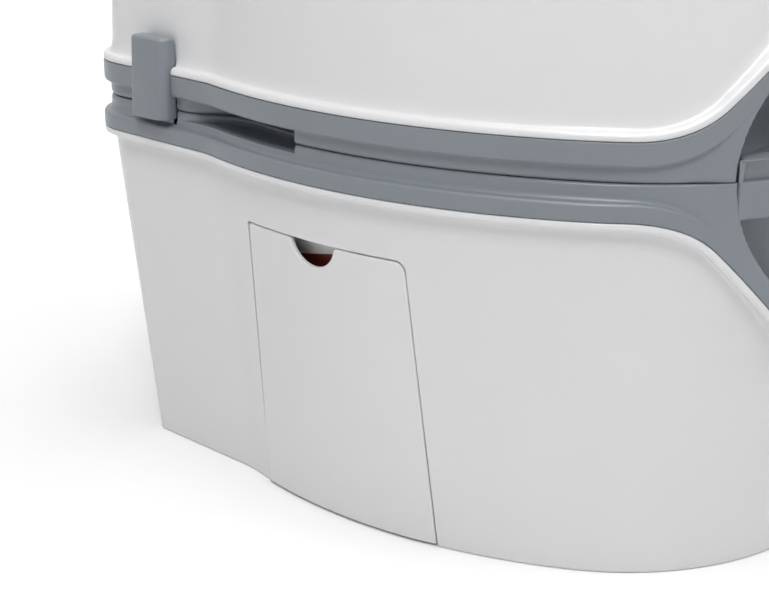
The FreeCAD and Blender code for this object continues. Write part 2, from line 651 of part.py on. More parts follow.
def build_tank():
    """Waste tank, and welded on it a cover with inlet, spout neck and vent hole."""
    shell = cut(tank_solid("0"), tank_solid("wall"))
    above = block("above", ("-" + FAR, FAR), ("-" + FAR, FAR), ("seam_z", ABOVE))
    piece("waste_tank", cut(shell, above))
    neck = rod("neck", "spout_socket_radius - spout_shoulder", "spout_neck_height",
               "spout_x", "spout_y", "bay_floor_z")
    inlet = rod("inlet", "outlet_radius", "wall * 4", "0", "0", "tank_top_z - wall * 2")
    bore = rod("bore", "spout_bore", "spout_neck_height + wall * 2",
               "spout_x", "spout_y", "bay_floor_z - wall * 2")
    vent = rod("vent", "vent_stem_radius + fit", "wall * 4",
               "-vent_x", "bay_front_y - wall * 2", "spout_z", "y")
    cover = fuse(common(shell, above), neck)
    piece("tank_cover", cut(cover, inlet, bore, vent, *valve_screw_shanks()))


def build_spout():
    """Swinging emptying spout with seal and cap, and the vent button beside it."""
    reach = "spout_x - spout_length"
    rise = "spout_z - spout_base_z"
    socket = rod("socket", "spout_socket_radius", rise + " + spout_head",
                 "spout_x", "spout_y", "spout_base_z")
    arm = rod("arm", "spout_radius", "spout_length", reach, "spout_y", "spout_z", "x")
    riser = rod("riser", "spout_bore", rise, "spout_x", "spout_y", "spout_base_z")
    bore = rod("bore", "spout_bore", "spout_length", reach, "spout_y", "spout_z", "x")
    piece("pour_spout", cut(fuse(socket, arm), riser, bore))
    rim = "spout_socket_radius - spout_shoulder"
    seal = turned([("spout_bore", "0"), (rim, "0"), (rim, "spout_seal_height"),
                   ("spout_bore", "spout_seal_height")],
                  "spout_x", "spout_y", "spout_base_z - spout_seal_height")
    piece("spout_seal", seal)
    inside = "spout_radius + thread_gap"
    floor = "spout_cap_length - spout_cap_grip"
    cap = turned([("0", "0"), ("spout_cap_radius", "0"), ("spout_cap_radius", "spout_cap_length"),
                  (inside, "spout_cap_length"), (inside, floor), ("0", floor)],
                 reach + " - (%s)" % floor, "spout_y", "spout_z", AXIS["x"])
    piece("spout_cap", cap)
    button = turned([("0", "-vent_stem_length"), ("vent_stem_radius", "-vent_stem_length"),
                     ("vent_stem_radius", "0"), ("vent_radius", "0"),
                     ("vent_radius", "vent_length"), ("0", "vent_length")],
                    "-vent_x", "bay_front_y + vent_rise", "spout_z", AXIS["y"])
    piece("vent_button", button)


def latch_ends(margin):
    """Depths just past both edges of a latch."""
    half = "(latch_width / 2 + %s)" % margin
    return "latch_y - " + half, "latch_y + " + half


def latch_room(z):
    """Room cut for a latch on the left flank between two heights."""
    return block("latch_room", ("-" + FAR, "-neck_x"), latch_ends("latch_gap"), z)


def latch_pin(radius, margin):
    """Latch pin on the left flank, reaching past both edges of the latch."""
    return rod("pin", radius, "latch_width + 2 * %s" % margin, "latch_axis_x",
               latch_ends(margin)[0], "latch_axis_z", "y")


def grip_room(z):
    """Hollow for the fingers on the left flank between two heights."""
    return block("grip", ("-" + FAR, "-neck_x + grip_depth"), ("grip_front_y", "grip_back_y"), z)


def grip_wall(z):
    """Material round a finger hollow."""
    return block("grip_wall", ("-" + FAR, "-neck_x + grip_depth + wall"),
                 ("grip_front_y - wall", "grip_back_y + wall"), z)


def build_deck(low, flange_region):
    """Grey top of the lower unit: rim with latch pockets, plate, scoop and finger cups."""
    foot = "low_sweep_z - apron_overrun"
    column = prism(outline("0", foot), "low_sweep_drop + 2 * apron_overrun")
    flange = cut(common(column, low), flange_region)
    neck = common(prism(outline("neck_inset", foot, "apron_inset"), "split_z - (%s)" % foot), low)
    room = prism(outline("neck_inset + wall", foot, "apron_inset + wall"),
                 "split_z + 1 - (%s)" % foot)
    body = fuse(flange, neck)
    level = ("split_z - grip_drop", "split_z + 1")
    fingers = pair(grip_room(level))
    cups = common(pair(grip_wall(("split_z - grip_drop - wall", "split_z"))), room)
    pocket = block("pocket", ("-flank_half_width + pocket_skin", "-neck_x + wall + 1"),
                   latch_ends("latch_gap"), ("latch_axis_z - pocket_depth", "split_z + 1"))
    pockets = pair(pocket)
    hole = rod("hole", "outlet_radius + gasket_width + gasket_room", "wall * 4",
               "0", "0", "split_z - wall * 2")
    slot = block("slot", ("-strip_half_width - clearance", "strip_half_width + clearance"),
                 ("-half_depth", "-valve_front"),
                 ("blade_z - clearance", "blade_z + blade_thickness + clearance"))
    pin = latch_pin("latch_pin_radius", "latch_pin_reach")
    piece("tank_deck", cut(body, room, scoop("wall"), fingers, pockets, pair(pin)))
    piece("deck_scoop", cut(common(scoop("wall"), body), scoop("0"), slot))
    piece("deck_cups", cut(cups, fingers))
    plate = prism(outline("neck_inset + wall", "split_z - wall", "apron_inset + wall"), "wall")
    piece("deck_plate", cut(plate, scoop("wall"), cups, pockets, hole))


def build_latches():
    """Side latches with their pins; each hooks into the upper frame."""
    outer = "-flank_half_width - latch_proud"
    foot = "latch_axis_z - latch_barrel_radius"
    root = "latch_inner_x + latch_root"
    tab = rounded([(outer, "latch_foot_z", "latch_foot_round"), ("latch_axis_x", "latch_foot_z", "0"),
                   ("latch_axis_x", foot, "0"), (root, foot, "0"), (root, "latch_foot_z", "0"),
                   ("latch_inner_x", "latch_foot_z + latch_root * 2", "0"),
                   ("latch_inner_x", "latch_top_z", "latch_back_round"),
                   (outer, "latch_top_z", "latch_top_round")],
                  "0", "latch_y + latch_width / 2", "0", FRONT)
    hook = block("hook", ("latch_inner_x - 1", "latch_inner_x + hook_reach"),
                 ("latch_y - hook_width / 2", "latch_y + hook_width / 2"),
                 ("hook_z", "hook_z + hook_height"))
    barrel = latch_pin("latch_barrel_radius", "0")
    hole = latch_pin("latch_pin_radius + fit", "1")
    left = cut(fuse(prism(tab, "latch_width"), hook, barrel), hole)
    piece("latch_left", left)
    piece("latch_right", mirrored(left))
    pin = latch_pin("latch_pin_radius", "latch_pin_reach")
    piece("latch_pins", group(pin, mirrored(pin)))


def valve_screw_spots():
    """Where the four screws that hold the valve on the tank stand."""
    x = "valve_half_width - valve_screw_set"
    depths = ("-valve_front + valve_screw_set", "valve_back_y - valve_screw_set")
    return [(side % x, y) for side in ("-(%s)", "%s") for y in depths]


def valve_screw_shanks():
    """Shanks of those screws, through the housing into the tank's top."""
    return [rod("shank", "valve_screw_radius", "valve_height + wall", x, y, "tank_top_z - wall")
            for x, y in valve_screw_spots()]


def build_valve_screws():
    """Screws of the valve housing."""
    heads = [rod("head", "valve_screw_head", "valve_screw_head_height", x, y, "valve_top_z")
             for x, y in valve_screw_spots()]
    screws = [fuse(shank, head) for shank, head in zip(valve_screw_shanks(), heads)]
    piece("valve_screws", group(*screws))


def build_valve():
    """Slide valve: housing, blade with its pull strip, handle and bowl seal."""
    housing = block("housing", ("-valve_half_width", "valve_half_width"),
                    ("-valve_front", "valve_back_y"), ("tank_top_z", "valve_top_z"))
    slot = block("slot", ("-blade_half_width - fit", "blade_half_width + fit"),
                 ("-half_depth", "blade_half_length + fit"),
                 ("blade_z - fit", "blade_z + blade_thickness + fit"))
    throat = rod("throat", "outlet_radius", "valve_height * 2",
                 "0", "0", "tank_top_z - valve_height / 2")
    piece("valve_housing", cut(housing, slot, throat, *valve_screw_shanks()))
    z = ("blade_z", "blade_z + blade_thickness")
    strip_x = ("-strip_half_width", "strip_half_width")
    tip = "-handle_back - handle_socket"
    plate = block("plate", ("-blade_half_width", "blade_half_width"),
                  ("-blade_half_length", "blade_half_length"), z)
    strip = block("strip", strip_x, (tip, "-blade_half_length + 1"), z)
    piece("valve_blade", fuse(plate, strip))
    foot = "split_z - handle_drop"
    band = cut(prism(outline("handle_inset", foot), "handle_height"),
               prism(outline("handle_inset + handle_depth", foot + " - 1"), "handle_height + 2"))
    middle = block("middle", ("-handle_half_width", "handle_half_width"), ("-" + FAR, "0"),
                   (foot, foot + " + handle_height"))
    socket = block("socket", strip_x, (tip, "0"), z)
    piece("valve_handle", cut(common(common(band, middle), scoop("-handle_play")), socket))
    edge = "outlet_radius + gasket_width"
    ring = turned([("outlet_radius", "0"), (edge, "0"), (edge, "gasket_height"),
                   ("outlet_radius", "gasket_height")], "0", "0", "valve_top_z")
    piece("bowl_gasket", ring)


def build_frame(high, flange_region):
    """Grey base of the upper unit: rim with latch keepers, plate, scoop and finger cups."""
    height = "high_sweep_z + apron_overrun - split_z"
    column = prism(outline("upper_inset", "split_z"), height)
    flange = cut(common(column, flange_region), high)
    nose = "apron_inset + upper_inset"
    neck = cut(prism(outline("neck_inset", "split_z", nose), height), high)
    room = prism(outline("neck_inset + wall", "split_z - 1", nose + " + wall"), height + " + 1")
    body = fuse(flange, neck)
    level = ("split_z - 1", "upper_flange_z")
    fingers = pair(grip_room(level))
    cups = common(pair(grip_wall(("split_z", "upper_flange_z + wall"))), room)
    half = "hook_width / 2 + keeper_side"
    keeper = block("keeper", ("-neck_x", "-neck_x + hook_reach + wall + keeper_back"),
                   ("latch_y - (%s)" % half, "latch_y + " + half),
                   ("hook_z - keeper_side", "upper_lip_z"))
    half = "hook_width / 2 + hook_play"
    catch = block("catch", ("-" + FAR, "latch_inner_x + hook_reach + hook_play"),
                  ("latch_y - (%s)" % half, "latch_y + " + half),
                  ("hook_z - hook_play", "hook_z + hook_height + hook_play"))
    hole = rod("hole", "outlet_radius + wall + clearance", "wall * 4", "0", "0", "split_z - wall")
    slot = latch_room(("split_z - 1", "upper_lip_z + 1"))
    rim = fuse(cut(body, room), common(pair(keeper), neck))
    piece("base_frame", cut(rim, scoop("wall"), fingers, pair(slot), pair(catch)))
    piece("frame_scoop", cut(common(scoop("wall"), body), scoop("0")))
    piece("frame_cups", cut(cups, fingers))
    plate = prism(outline("neck_inset + wall", "split_z", nose + " + wall"), "wall")
    piece("base_plate", cut(plate, scoop("wall"), cups, hole))


def shell_loft(extra, top):
    """Rounded solid of the flush tank, moved inwards by a distance."""
    steps = [("shell_inset_low", "0"), ("shell_inset_mid", "shell_mid_part"),
             ("shell_inset_high", "shell_high_part"),
             ("shell_inset_shoulder", "shell_shoulder_part"), ("shell_inset_top", "1")]
    rise = "(flush_rise - (%s))" % top
    return loft(*[outline("%s + (%s)" % (inset, extra), "upper_lip_z + %s * %s" % (rise, part))
                  for inset, part in steps], ruled=False)


def corner_hole(radius, side):
    """Hole through the tank's top on a rear corner."""
    return rod("corner_hole", radius + " + corner_play", "wall * 4",
               side + "corner_x", "corner_y", "top_z - wall * 2")


def post_screw_shank():
    """Shank of the screw from inside the tank up into the right-hand hinge post."""
    return rod("shank", "post_screw_radius", "post_screw_length",
               "hinge_post_x", "hinge_y", "top_z - wall")


def build_flush_shell(high, lip_region):
    """White flush tank shell with its lip and the openings in its top."""
    inside = shell_loft("wall", "wall")
    tube = common(cut(shell_loft("0", "0"), inside), high)
    column = prism(outline("upper_inset", "upper_lip_z - upper_lip_height"),
                   "high_sweep_rise + apron_overrun + upper_lip_height")
    lip = cut(common(column, high), lip_region, inside)
    gap = "wall + clearance"
    mouth = prism(oval("bowl_half_width + " + gap, "bowl_half_length + " + gap, "-bowl_set",
                       "top_z - wall * 2"), "wall * 4")
    slot = latch_room(("upper_lip_z - 1", "upper_lip_z + upper_lip_height + 1"))
    shell = cut(fuse(tube, lip), mouth, corner_hole("barrel_radius", ""),
                corner_hole("filler_radius", "-"), pair(slot), pair(post_screw_shank()))
    piece("flush_shell", shell)


def bowl_oval(taper, extra, y, z):
    """Section of the bowl, narrower than its mouth by a taper."""
    return oval("bowl_half_width - %s + (%s)" % (taper, extra),
                "bowl_half_length - %s + (%s)" % (taper, extra), y, z)


def bowl_loft(extra):
    """Funnel of the bowl, made larger by a distance."""
    top = bowl_oval("0", extra, "-bowl_set", "top_z")
    waist = bowl_oval("bowl_waist_taper", extra, "-bowl_set * bowl_waist_part", "bowl_waist_z")
    radius = "outlet_radius + (%s)" % extra
    foot = oval(radius, radius, "0", "split_z + bowl_foot_rise")
    return loft(foot, waist, top, ruled=False)


def build_bowl():
    """Bowl with its rim on the tank's top and its spigot on the valve's seal."""
    funnel = cut(bowl_loft("wall"), bowl_loft("0"))
    rim = prism(bowl_oval("0", "wall + rim_width", "-bowl_set", "top_z"), "rim_thickness")
    mouth = prism(bowl_oval("0", "0", "-bowl_set", "top_z - 1"), "rim_thickness + 2")
    length = "spigot_drop + bowl_foot_rise + spigot_lap"
    spigot = rod("spigot", "outlet_radius + wall", length, "0", "0", "spigot_z")
    bore = rod("bore", "outlet_radius", length + " + 2", "0", "0", "spigot_z - 1")
    start, end = pipe_ends()
    hole = slanted_rod("hole", "pipe_radius + fit", start, end)
    piece("bowl", cut(fuse(funnel, cut(rim, mouth), cut(spigot, bore)), bore, hole))


def pipe_ends():
    """Ends of the flush pipe: in the pump's barrel wall and just inside the bowl."""
    z = number("pipe_z")
    pump = FreeCAD.Vector(number("corner_x"), number("corner_y"), z)
    middle = FreeCAD.Vector(0, -number("bowl_set"), z)
    along = (pump - middle).normalize()
    reach = number("(bowl_half_width + bowl_half_length) / 2 - pipe_reach")
    return middle + along * reach, pump - along * number("barrel_bore + pipe_sink")


def build_flush_pipe():
    """Pipe from the pump to the bowl with a spray nozzle on its end."""
    start, end = pipe_ends()
    along = (end - start).normalize()
    bore = slanted_rod("bore", "pipe_radius - pipe_wall", start - along, end + along)
    piece("flush_pipe", cut(slanted_rod("pipe", "pipe_radius", start, end), bore))
    half = along * number("nozzle_length / 2")
    head = slanted_rod("head", "nozzle_radius", start - half, start + half)
    seat = slanted_rod("seat", "pipe_radius", start, end)
    jet = slanted_rod("jet", "jet_radius", start - half * 2, end)
    piece("flush_nozzle", cut(head, seat, jet))


def seat_outline(inset, z):
    """Outline of seat and lid: round in front, narrower between the rear corners."""
    slant = "%.4f * (%s)" % (math.tan(math.pi / 8), inset)
    wide = "seat_half_width - (%s)" % inset
    narrow = "seat_neck_half_width - (%s)" % inset
    front = "-seat_front + (%s)" % inset
    shoulder = "seat_shoulder_y - " + slant
    waist = "seat_shoulder_y + seat_neck_step - " + slant
    back = "seat_back_y - (%s)" % inset
    right = [(wide, front, "seat_front_radius - (%s)" % inset),
             (wide, shoulder, "seat_shoulder_radius - (%s) * seat_shoulder_part" % inset),
             (narrow, waist, "seat_corner_radius + (%s)" % inset),
             (narrow, back, "seat_corner_radius - (%s) * seat_corner_part" % inset)]
    left = [("-(%s)" % px, py, radius) for px, py, radius in reversed(right)]
    return rounded(right + left, "0", "0", z)


def hinge_arm(corners, x_from):
    """Right-hand hinge arm: a plate through corners (y, z) with an eye at the pin."""
    profile = rounded([(y, z, "0") for y, z in corners], x_from, "0", "0", SIDE)
    eye = rod("eye", "eye_radius", "lug_width", x_from, "hinge_y", "hinge_z", "x")
    return fuse(prism(profile, "lug_width"), eye)


def hinge_bore(radius):
    """Room for the hinge pins of both sides."""
    return pair(rod("bore", radius, "hinge_post_width + 2 * lug_width + 2 * lug_play + 2",
                    "hinge_post_x - hinge_post_width / 2 - lug_width - lug_play - 1",
                    "hinge_y", "hinge_z", "x"))


def right_pads(radius, length, z, set_in):
    """Rubber pads under a plate, at the right flank and the right rear shoulder."""
    spots = [("seat_half_width - bumper_set - (%s)" % set_in, "-bowl_set"),
             ("seat_neck_half_width - bumper_neck_set - (%s)" % set_in,
              "seat_shoulder_y + seat_neck_step - bumper_neck_set")]
    return [rod("pad", radius, length, x, y, z) for x, y in spots]


def build_seat():
    """Seat ring with its hinge arms and the bumpers under it."""
    ring = prism(seat_outline("0", "seat_z"), "seat_thickness")
    opening = prism(bowl_oval("0", "seat_opening_margin", "-bowl_set", "seat_z - 1"),
                    "seat_thickness + 2")
    inner = "seat_back_y - arm_lap"
    outer = "seat_back_y + arm_step"
    arm = hinge_arm([(inner, "seat_z + arm_rise"), ("hinge_y", "hinge_z - eye_radius"),
                     ("hinge_y", "hinge_z + eye_radius"), (outer, "hinge_z - arm_drop"),
                     (outer, "seat_top_z"), (inner, "seat_top_z")],
                    "hinge_post_x - hinge_post_width / 2 - lug_play - lug_width")
    piece("seat", cut(fuse(ring, pair(arm)), opening, hinge_bore("pin_radius + fit")))
    pads = right_pads("bumper_radius", "seat_z - top_z", "top_z", "0")
    piece("seat_bumpers", group(*pads, *[mirrored(pad) for pad in pads]))


def lid_loft(extra):
    """Domed solid of the lid, made smaller by a distance."""
    steps = [("0", "lid_z"), ("lid_draft", "lid_z + lid_height * lid_wall_part"),
             ("lid_round", "lid_top_z - (%s)" % extra)]
    return loft(*[seat_outline("%s + (%s)" % (inset, extra), z) for inset, z in steps], ruled=False)


def build_lid():
    """Domed lid with its hinge arms and the bumpers inside it."""
    room = lid_loft("wall")
    shell = cut(lid_loft("0"), room)
    inner = "seat_back_y - arm_lap"
    arm = hinge_arm([(inner, "lid_z + arm_rise"), ("hinge_y", "hinge_z - eye_radius"),
                     ("hinge_y", "hinge_z + eye_radius"), (inner, "hinge_z + eye_radius - 1")],
                    "hinge_post_x + hinge_post_width / 2 + lug_play")
    piece("lid", cut(fuse(shell, cut(pair(arm), room)), hinge_bore("pin_radius + fit")))
    rough = right_pads("lid_bumper_radius", "lid_height - wall + lid_gap", "seat_top_z", "lid_bumper_set")
    pads = [cut(pad, shell) for pad in rough]
    piece("lid_bumpers", group(*pads, *[mirrored(pad) for pad in pads]))


def build_hinge():
    """Screwed posts on the tank's top and the pins that seat and lid turn on."""
    near = "hinge_y - hinge_post_depth / 2"
    far = "hinge_y + hinge_post_depth / 2"
    top = "hinge_z + eye_radius"
    profile = rounded([(near, "top_z", "0"), (far, "top_z", "0"), (far, top, "hinge_post_round"),
                       (near, top, "hinge_post_round")],
                      "hinge_post_x - hinge_post_width / 2", "0", "0", SIDE)
    shank = post_screw_shank()
    post = cut(prism(profile, "hinge_post_width"), hinge_bore("pin_radius"), shank)
    piece("hinge_post_right", post)
    piece("hinge_post_left", mirrored(post))
    reach = "(hinge_post_width / 2 + lug_play + lug_width)"
    pin = rod("pin", "pin_radius", "2 * " + reach, "hinge_post_x - " + reach, "hinge_y", "hinge_z", "x")
    piece("hinge_pins", group(pin, mirrored(pin)))
    head = rod("head", "post_screw_head", "post_screw_head_height", "hinge_post_x", "hinge_y",
               "top_z - wall - post_screw_head_height")
    screw = fuse(post_screw_shank(), head)
    piece("post_screws", group(screw, mirrored(screw)))


def build_pump():
    """Flush pump on the right rear corner: barrel, piston with ring and rod, and knob."""
    top = "rim_thickness"
    collar = "pump_rod_radius + fit"
    barrel = turned([("barrel_bore", "-barrel_length"), ("barrel_radius", "-barrel_length"),
                     ("barrel_radius", "0"), ("corner_flange_radius", "0"),
                     ("corner_flange_radius", top), (collar, top), (collar, "-wall"),
                     ("barrel_bore", "-wall")], "corner_x", "corner_y", "top_z")
    start, end = pipe_ends()
    piece("pump_barrel", cut(barrel, slanted_rod("port", "pipe_radius", start, end)))
    foot = "top_z - piston_depth"
    rod_end = "piston_depth + rim_thickness + knob_gap + knob_socket"
    skirt = "barrel_bore - fit"
    groove = "barrel_bore - fit - ring_depth"
    low = "(piston_height - ring_height) / 2"
    high = "(piston_height + ring_height) / 2"
    piston = turned([("0", "0"), (skirt, "0"), (skirt, low), (groove, low), (groove, high),
                     (skirt, high), (skirt, "piston_height"), ("pump_rod_radius", "piston_height"),
                     ("pump_rod_radius", rod_end), ("0", rod_end)], "corner_x", "corner_y", foot)
    piece("pump_piston", piston)
    ring = turned([(groove, low), (skirt, low), (skirt, high), (groove, high)],
                  "corner_x", "corner_y", foot)
    piece("piston_ring", ring)
    edge = "knob_radius - knob_round"
    knob = turned([("pump_rod_radius", "0"), (edge, "0"), ("knob_radius", "knob_round"),
                   ("knob_radius", "knob_height - knob_round"), (edge, "knob_height"),
                   ("0", "knob_height"), ("0", "knob_socket"), ("pump_rod_radius", "knob_socket")],
                  "corner_x", "corner_y", "top_z + rim_thickness + knob_gap")
    piece("pump_knob", knob)


def build_filler():
    """Filler neck on the left rear corner with its screw cap and seal."""
    mouth = "filler_flange + collar_height"
    neck = turned([("filler_bore", "-filler_depth"), ("filler_radius", "-filler_depth"),
                   ("filler_radius", "0"), ("corner_flange_radius", "0"),
                   ("corner_flange_radius", "filler_flange"), ("filler_radius", "filler_flange"),
                   ("filler_radius", mouth), ("filler_bore", mouth)],
                  "-corner_x", "corner_y", "top_z")
    piece("filler_neck", neck)
    roof = mouth + " + seal_height"
    inside = "filler_radius + thread_gap"
    skirt = "filler_flange + cap_gap"
    cap = turned([(inside, skirt), ("cap_radius", skirt), ("cap_radius", "cap_height - cap_round"),
                  ("cap_radius - cap_round", "cap_height"), ("0", "cap_height"), ("0", roof),
                  (inside, roof)], "-corner_x", "corner_y", "top_z")
    piece("filler_cap", cap)
    seal = turned([("filler_bore", mouth), ("filler_radius", mouth), ("filler_radius", roof),
                   ("filler_bore", roof)], "-corner_x", "corner_y", "top_z")
    piece("filler_seal", seal)


def build_all():
    """Build every sub-part in order from the floor up."""
    fill_sheet()
    low = sweep_region("low", "0")
    high = sweep_region("high", "0")
    build_jacket(low, sweep_region("low", "-lip_height"))
    build_door()
    build_bin()
    build_tank()
    build_spout()
    build_deck(low, sweep_region("low", "flange_height"))
    build_latches()
    build_valve()
    build_valve_screws()
    build_frame(high, sweep_region("high", "-upper_flange_height"))
    build_flush_shell(high, sweep_region("high", "upper_lip_height"))
    build_bowl()
    build_seat()
    build_lid()
    build_hinge()
    build_pump()
    build_filler()
    build_flush_pipe()
    doc.recompute()


def write_parts():
    """Check every object and write each sub-part to its own file."""
    for obj in doc.Objects:
        bad = [state for state in obj.State if state in ("Invalid", "Error")]
        if bad:
            raise RuntimeError("%s (%s) did not build" % (obj.Name, obj.Label))
    os.makedirs("parts", exist_ok=True)
    for obj in pieces:
        shape = obj.Shape
        if shape.isNull() or not shape.isValid():
            raise RuntimeError("%s has no sound shape" % obj.Label)
        shape.exportStep("parts/%s.step" % obj.Label)


build_all()
write_parts()
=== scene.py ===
"""Studio scene of a two-part portable toilet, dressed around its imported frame."""

import logging
import math
from dataclasses import dataclass
from enum import Enum
from functools import cached_property
from typing import Callable, Sequence, Union

import bmesh
import bpy
from mathutils import Matrix, Vector


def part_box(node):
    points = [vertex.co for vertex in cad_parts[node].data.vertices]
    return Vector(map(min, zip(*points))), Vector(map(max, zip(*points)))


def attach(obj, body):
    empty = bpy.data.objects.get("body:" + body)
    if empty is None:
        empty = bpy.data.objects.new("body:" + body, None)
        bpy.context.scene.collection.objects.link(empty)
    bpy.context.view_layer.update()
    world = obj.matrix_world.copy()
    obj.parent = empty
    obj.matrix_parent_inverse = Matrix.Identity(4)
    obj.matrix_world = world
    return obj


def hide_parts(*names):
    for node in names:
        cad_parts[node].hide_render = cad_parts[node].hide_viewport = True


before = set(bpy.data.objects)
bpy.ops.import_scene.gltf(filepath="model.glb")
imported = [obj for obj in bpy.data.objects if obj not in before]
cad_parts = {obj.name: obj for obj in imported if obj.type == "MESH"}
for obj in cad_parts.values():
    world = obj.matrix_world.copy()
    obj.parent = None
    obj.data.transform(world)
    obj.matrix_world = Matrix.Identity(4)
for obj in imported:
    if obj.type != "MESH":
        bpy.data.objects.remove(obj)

MM = 0.001
# Distance within which two places count as one
NEAR = 0.01 * MM
# Distance within which neighbouring points of a skin are welded
WELD = 0.004 * MM
# Edges flatter than this many degrees stay smooth on rounded pieces
SOFT_ANGLE = 40.0
Mesh = bpy.types.Object
Pair = tuple[float, float]
Spot = tuple[float, float, float]
Colour = tuple[float, float, float]
EdgeTest = Callable[[Vector, Vector], bool]
log = logging.getLogger("portable_toilet")


class Axis(Enum):
    """Direction that a turned piece or a plate runs in."""

    X = (1.0, 0.0, 0.0)
    Y = (0.0, 1.0, 0.0)
    Z = (0.0, 0.0, 1.0)
    LEFT = (-1.0, 0.0, 0.0)

    def matrix(self) -> Matrix:
        """Turn that carries the upward direction onto this one."""
        return Vector((0, 0, 1)).rotation_difference(Vector(self.value)).to_matrix().to_4x4()


class Side(Enum):
    """Flank of the object: the one with the paper door is the left."""

    LEFT = -1.0
    RIGHT = 1.0


class Bench:
    """Modelling moves made as by hand, on one object at a time."""

    @staticmethod
    def pick(obj: Mesh) -> None:
        """Select one object alone and make it the active one."""
        bpy.ops.object.select_all(action="DESELECT")
        obj.select_set(True)
        bpy.context.view_layer.objects.active = obj

    @staticmethod
    def added(name: str) -> Mesh:
        """Name the primitive just added and put its place into its mesh.

        Args:
            name: name of the piece.

        Returns:
            The piece, at the origin and unscaled.
        """
        obj = bpy.context.active_object
        obj.name = name
        obj.data.name = name
        bpy.ops.object.transform_apply(location=True, rotation=True, scale=True)
        return obj

    @staticmethod
    def block(name: str, low: Vector, high: Vector) -> Mesh:
        """Box between two corners.

        Args:
            name: name of the piece.
            low: lowest corner.
            high: highest corner.

        Returns:
            The box.
        """
        bpy.ops.object.select_all(action="DESELECT")
        bpy.ops.mesh.primitive_cube_add(size=1.0, location=(low + high) / 2)
        bpy.context.active_object.scale = high - low
        return Bench.added(name)

    @staticmethod
    def drum(name: str, radius: float, length: float, foot: Vector, axis: Axis, sides: int = 48) -> Mesh:
        """Cylinder that stands on a point and runs along an axis.

        Args:
            name: name of the piece.
            radius: its radius.
            length: its length.
            foot: middle of its first end.
            axis: direction from the first end to the second.
            sides: number of flats round it.

        Returns:
            The cylinder.
        """
        bpy.ops.object.select_all(action="DESELECT")
        middle = foot + Vector(axis.value) * length / 2
        turn = axis.matrix().to_euler()
        bpy.ops.mesh.primitive_cylinder_add(vertices=sides, radius=radius, depth=length,
                                            location=middle, rotation=turn)
        return Bench.added(name)

    @staticmethod
    def drawn(name: str, points: Sequence[Vector], edges: Sequence[tuple], faces: Sequence[tuple]) -> Mesh:
        """Piece from points, edges and faces drawn directly.

        Args:
            name: name of the piece.
            points: its vertices.
            edges: its loose edges.
            faces: its faces.

        Returns:
            The new piece.
        """
        mesh = bpy.data.meshes.new(name)
        mesh.from_pydata([tuple(point) for point in points], list(edges), list(faces))
        mesh.update()
        obj = bpy.data.objects.new(name, mesh)
        bpy.context.scene.collection.objects.link(obj)
        return obj

    @staticmethod
    def turned(name: str, profile: Sequence[Pair], foot: Vector, axis: Axis, steps: int = 96) -> Mesh:
        """Lathe-turned piece, spun from an open or closed profile.

        Args:
            name: name of the piece.
            profile: (radius, height) points from one end to the other.
            foot: point where the profile's height is nought.
            axis: direction of growing height.
            steps: number of steps round.

        Returns:
            The turned piece.
        """
        points = [Vector((radius, 0.0, height)) for radius, height in profile]
        edges = [(index, index + 1) for index in range(len(points) - 1)]
        obj = Bench.drawn(name, points, edges, [])
        Bench.pick(obj)
        bpy.ops.object.mode_set(mode="EDIT")
        bpy.ops.mesh.select_all(action="SELECT")
        bpy.ops.mesh.spin(steps=steps, angle=2 * math.pi, center=(0, 0, 0), axis=(0, 0, 1))
        bpy.ops.mesh.select_all(action="SELECT")
        bpy.ops.mesh.remove_doubles(threshold=NEAR)
        bpy.ops.mesh.normals_make_consistent(inside=False)
        bpy.ops.object.mode_set(mode="OBJECT")
        obj.data.transform(Matrix.Translation(foot) @ axis.matrix())
        return obj

    @staticmethod
    def plate(name: str, corners: Sequence[Vector], travel: Vector) -> Mesh:
        """Flat outline pulled out into a plate.

        Args:
            name: name of the piece.
            corners: outline, in order.
            travel: how far and which way it is pulled.

        Returns:
            The plate.
        """
        obj = Bench.drawn(name, corners, [], [tuple(range(len(corners)))])
        Bench.pick(obj)
        bpy.ops.object.mode_set(mode="EDIT")
        bpy.ops.mesh.select_all(action="SELECT")
        bpy.ops.mesh.extrude_region_move(TRANSFORM_OT_translate={"value": tuple(travel)})
        bpy.ops.mesh.select_all(action="SELECT")
        bpy.ops.mesh.normals_make_consistent(inside=False)
        bpy.ops.object.mode_set(mode="OBJECT")
        return obj

    @staticmethod
    def choose_edges(obj: Mesh, test: EdgeTest) -> None:
        """Enter edit mode with only the edges selected whose two ends pass a test."""
        Bench.pick(obj)
        bpy.ops.object.mode_set(mode="EDIT")
        bpy.ops.mesh.select_mode(type="EDGE")
        bpy.ops.mesh.select_all(action="DESELECT")
        shape = bmesh.from_edit_mesh(obj.data)
        for edge in shape.edges:
            if test(edge.verts[0].co, edge.verts[1].co):
                edge.select = True
        shape.select_flush_mode()
        bmesh.update_edit_mesh(obj.data)

    @staticmethod
    def round_edges(obj: Mesh, radius: float, test: EdgeTest, segments: int = 5) -> None:
        """Bevel the edges that pass a test.

        Args:
            obj: piece to work on.
            radius: size of the rounding.
            test: tells from an edge's two ends whether it is rounded.
            segments: number of steps in the rounding.
        """
        Bench.choose_edges(obj, test)
        bpy.ops.mesh.bevel(offset=radius, segments=segments, profile=0.5, affect="EDGES")
        bpy.ops.object.mode_set(mode="OBJECT")

    @staticmethod
    def finish_with(obj: Mesh, kind: str, **settings: object) -> Mesh:
        """Add a modifier, set it and apply it.

        Args:
            obj: piece to work on.
            kind: the modifier's type.
            settings: its values.

        Returns:
            The same piece.
        """
        Bench.pick(obj)
        modifier = obj.modifiers.new(kind.title(), kind)
        for name, value in settings.items():
            setattr(modifier, name, value)
        bpy.ops.object.modifier_apply(modifier=modifier.name)
        return obj

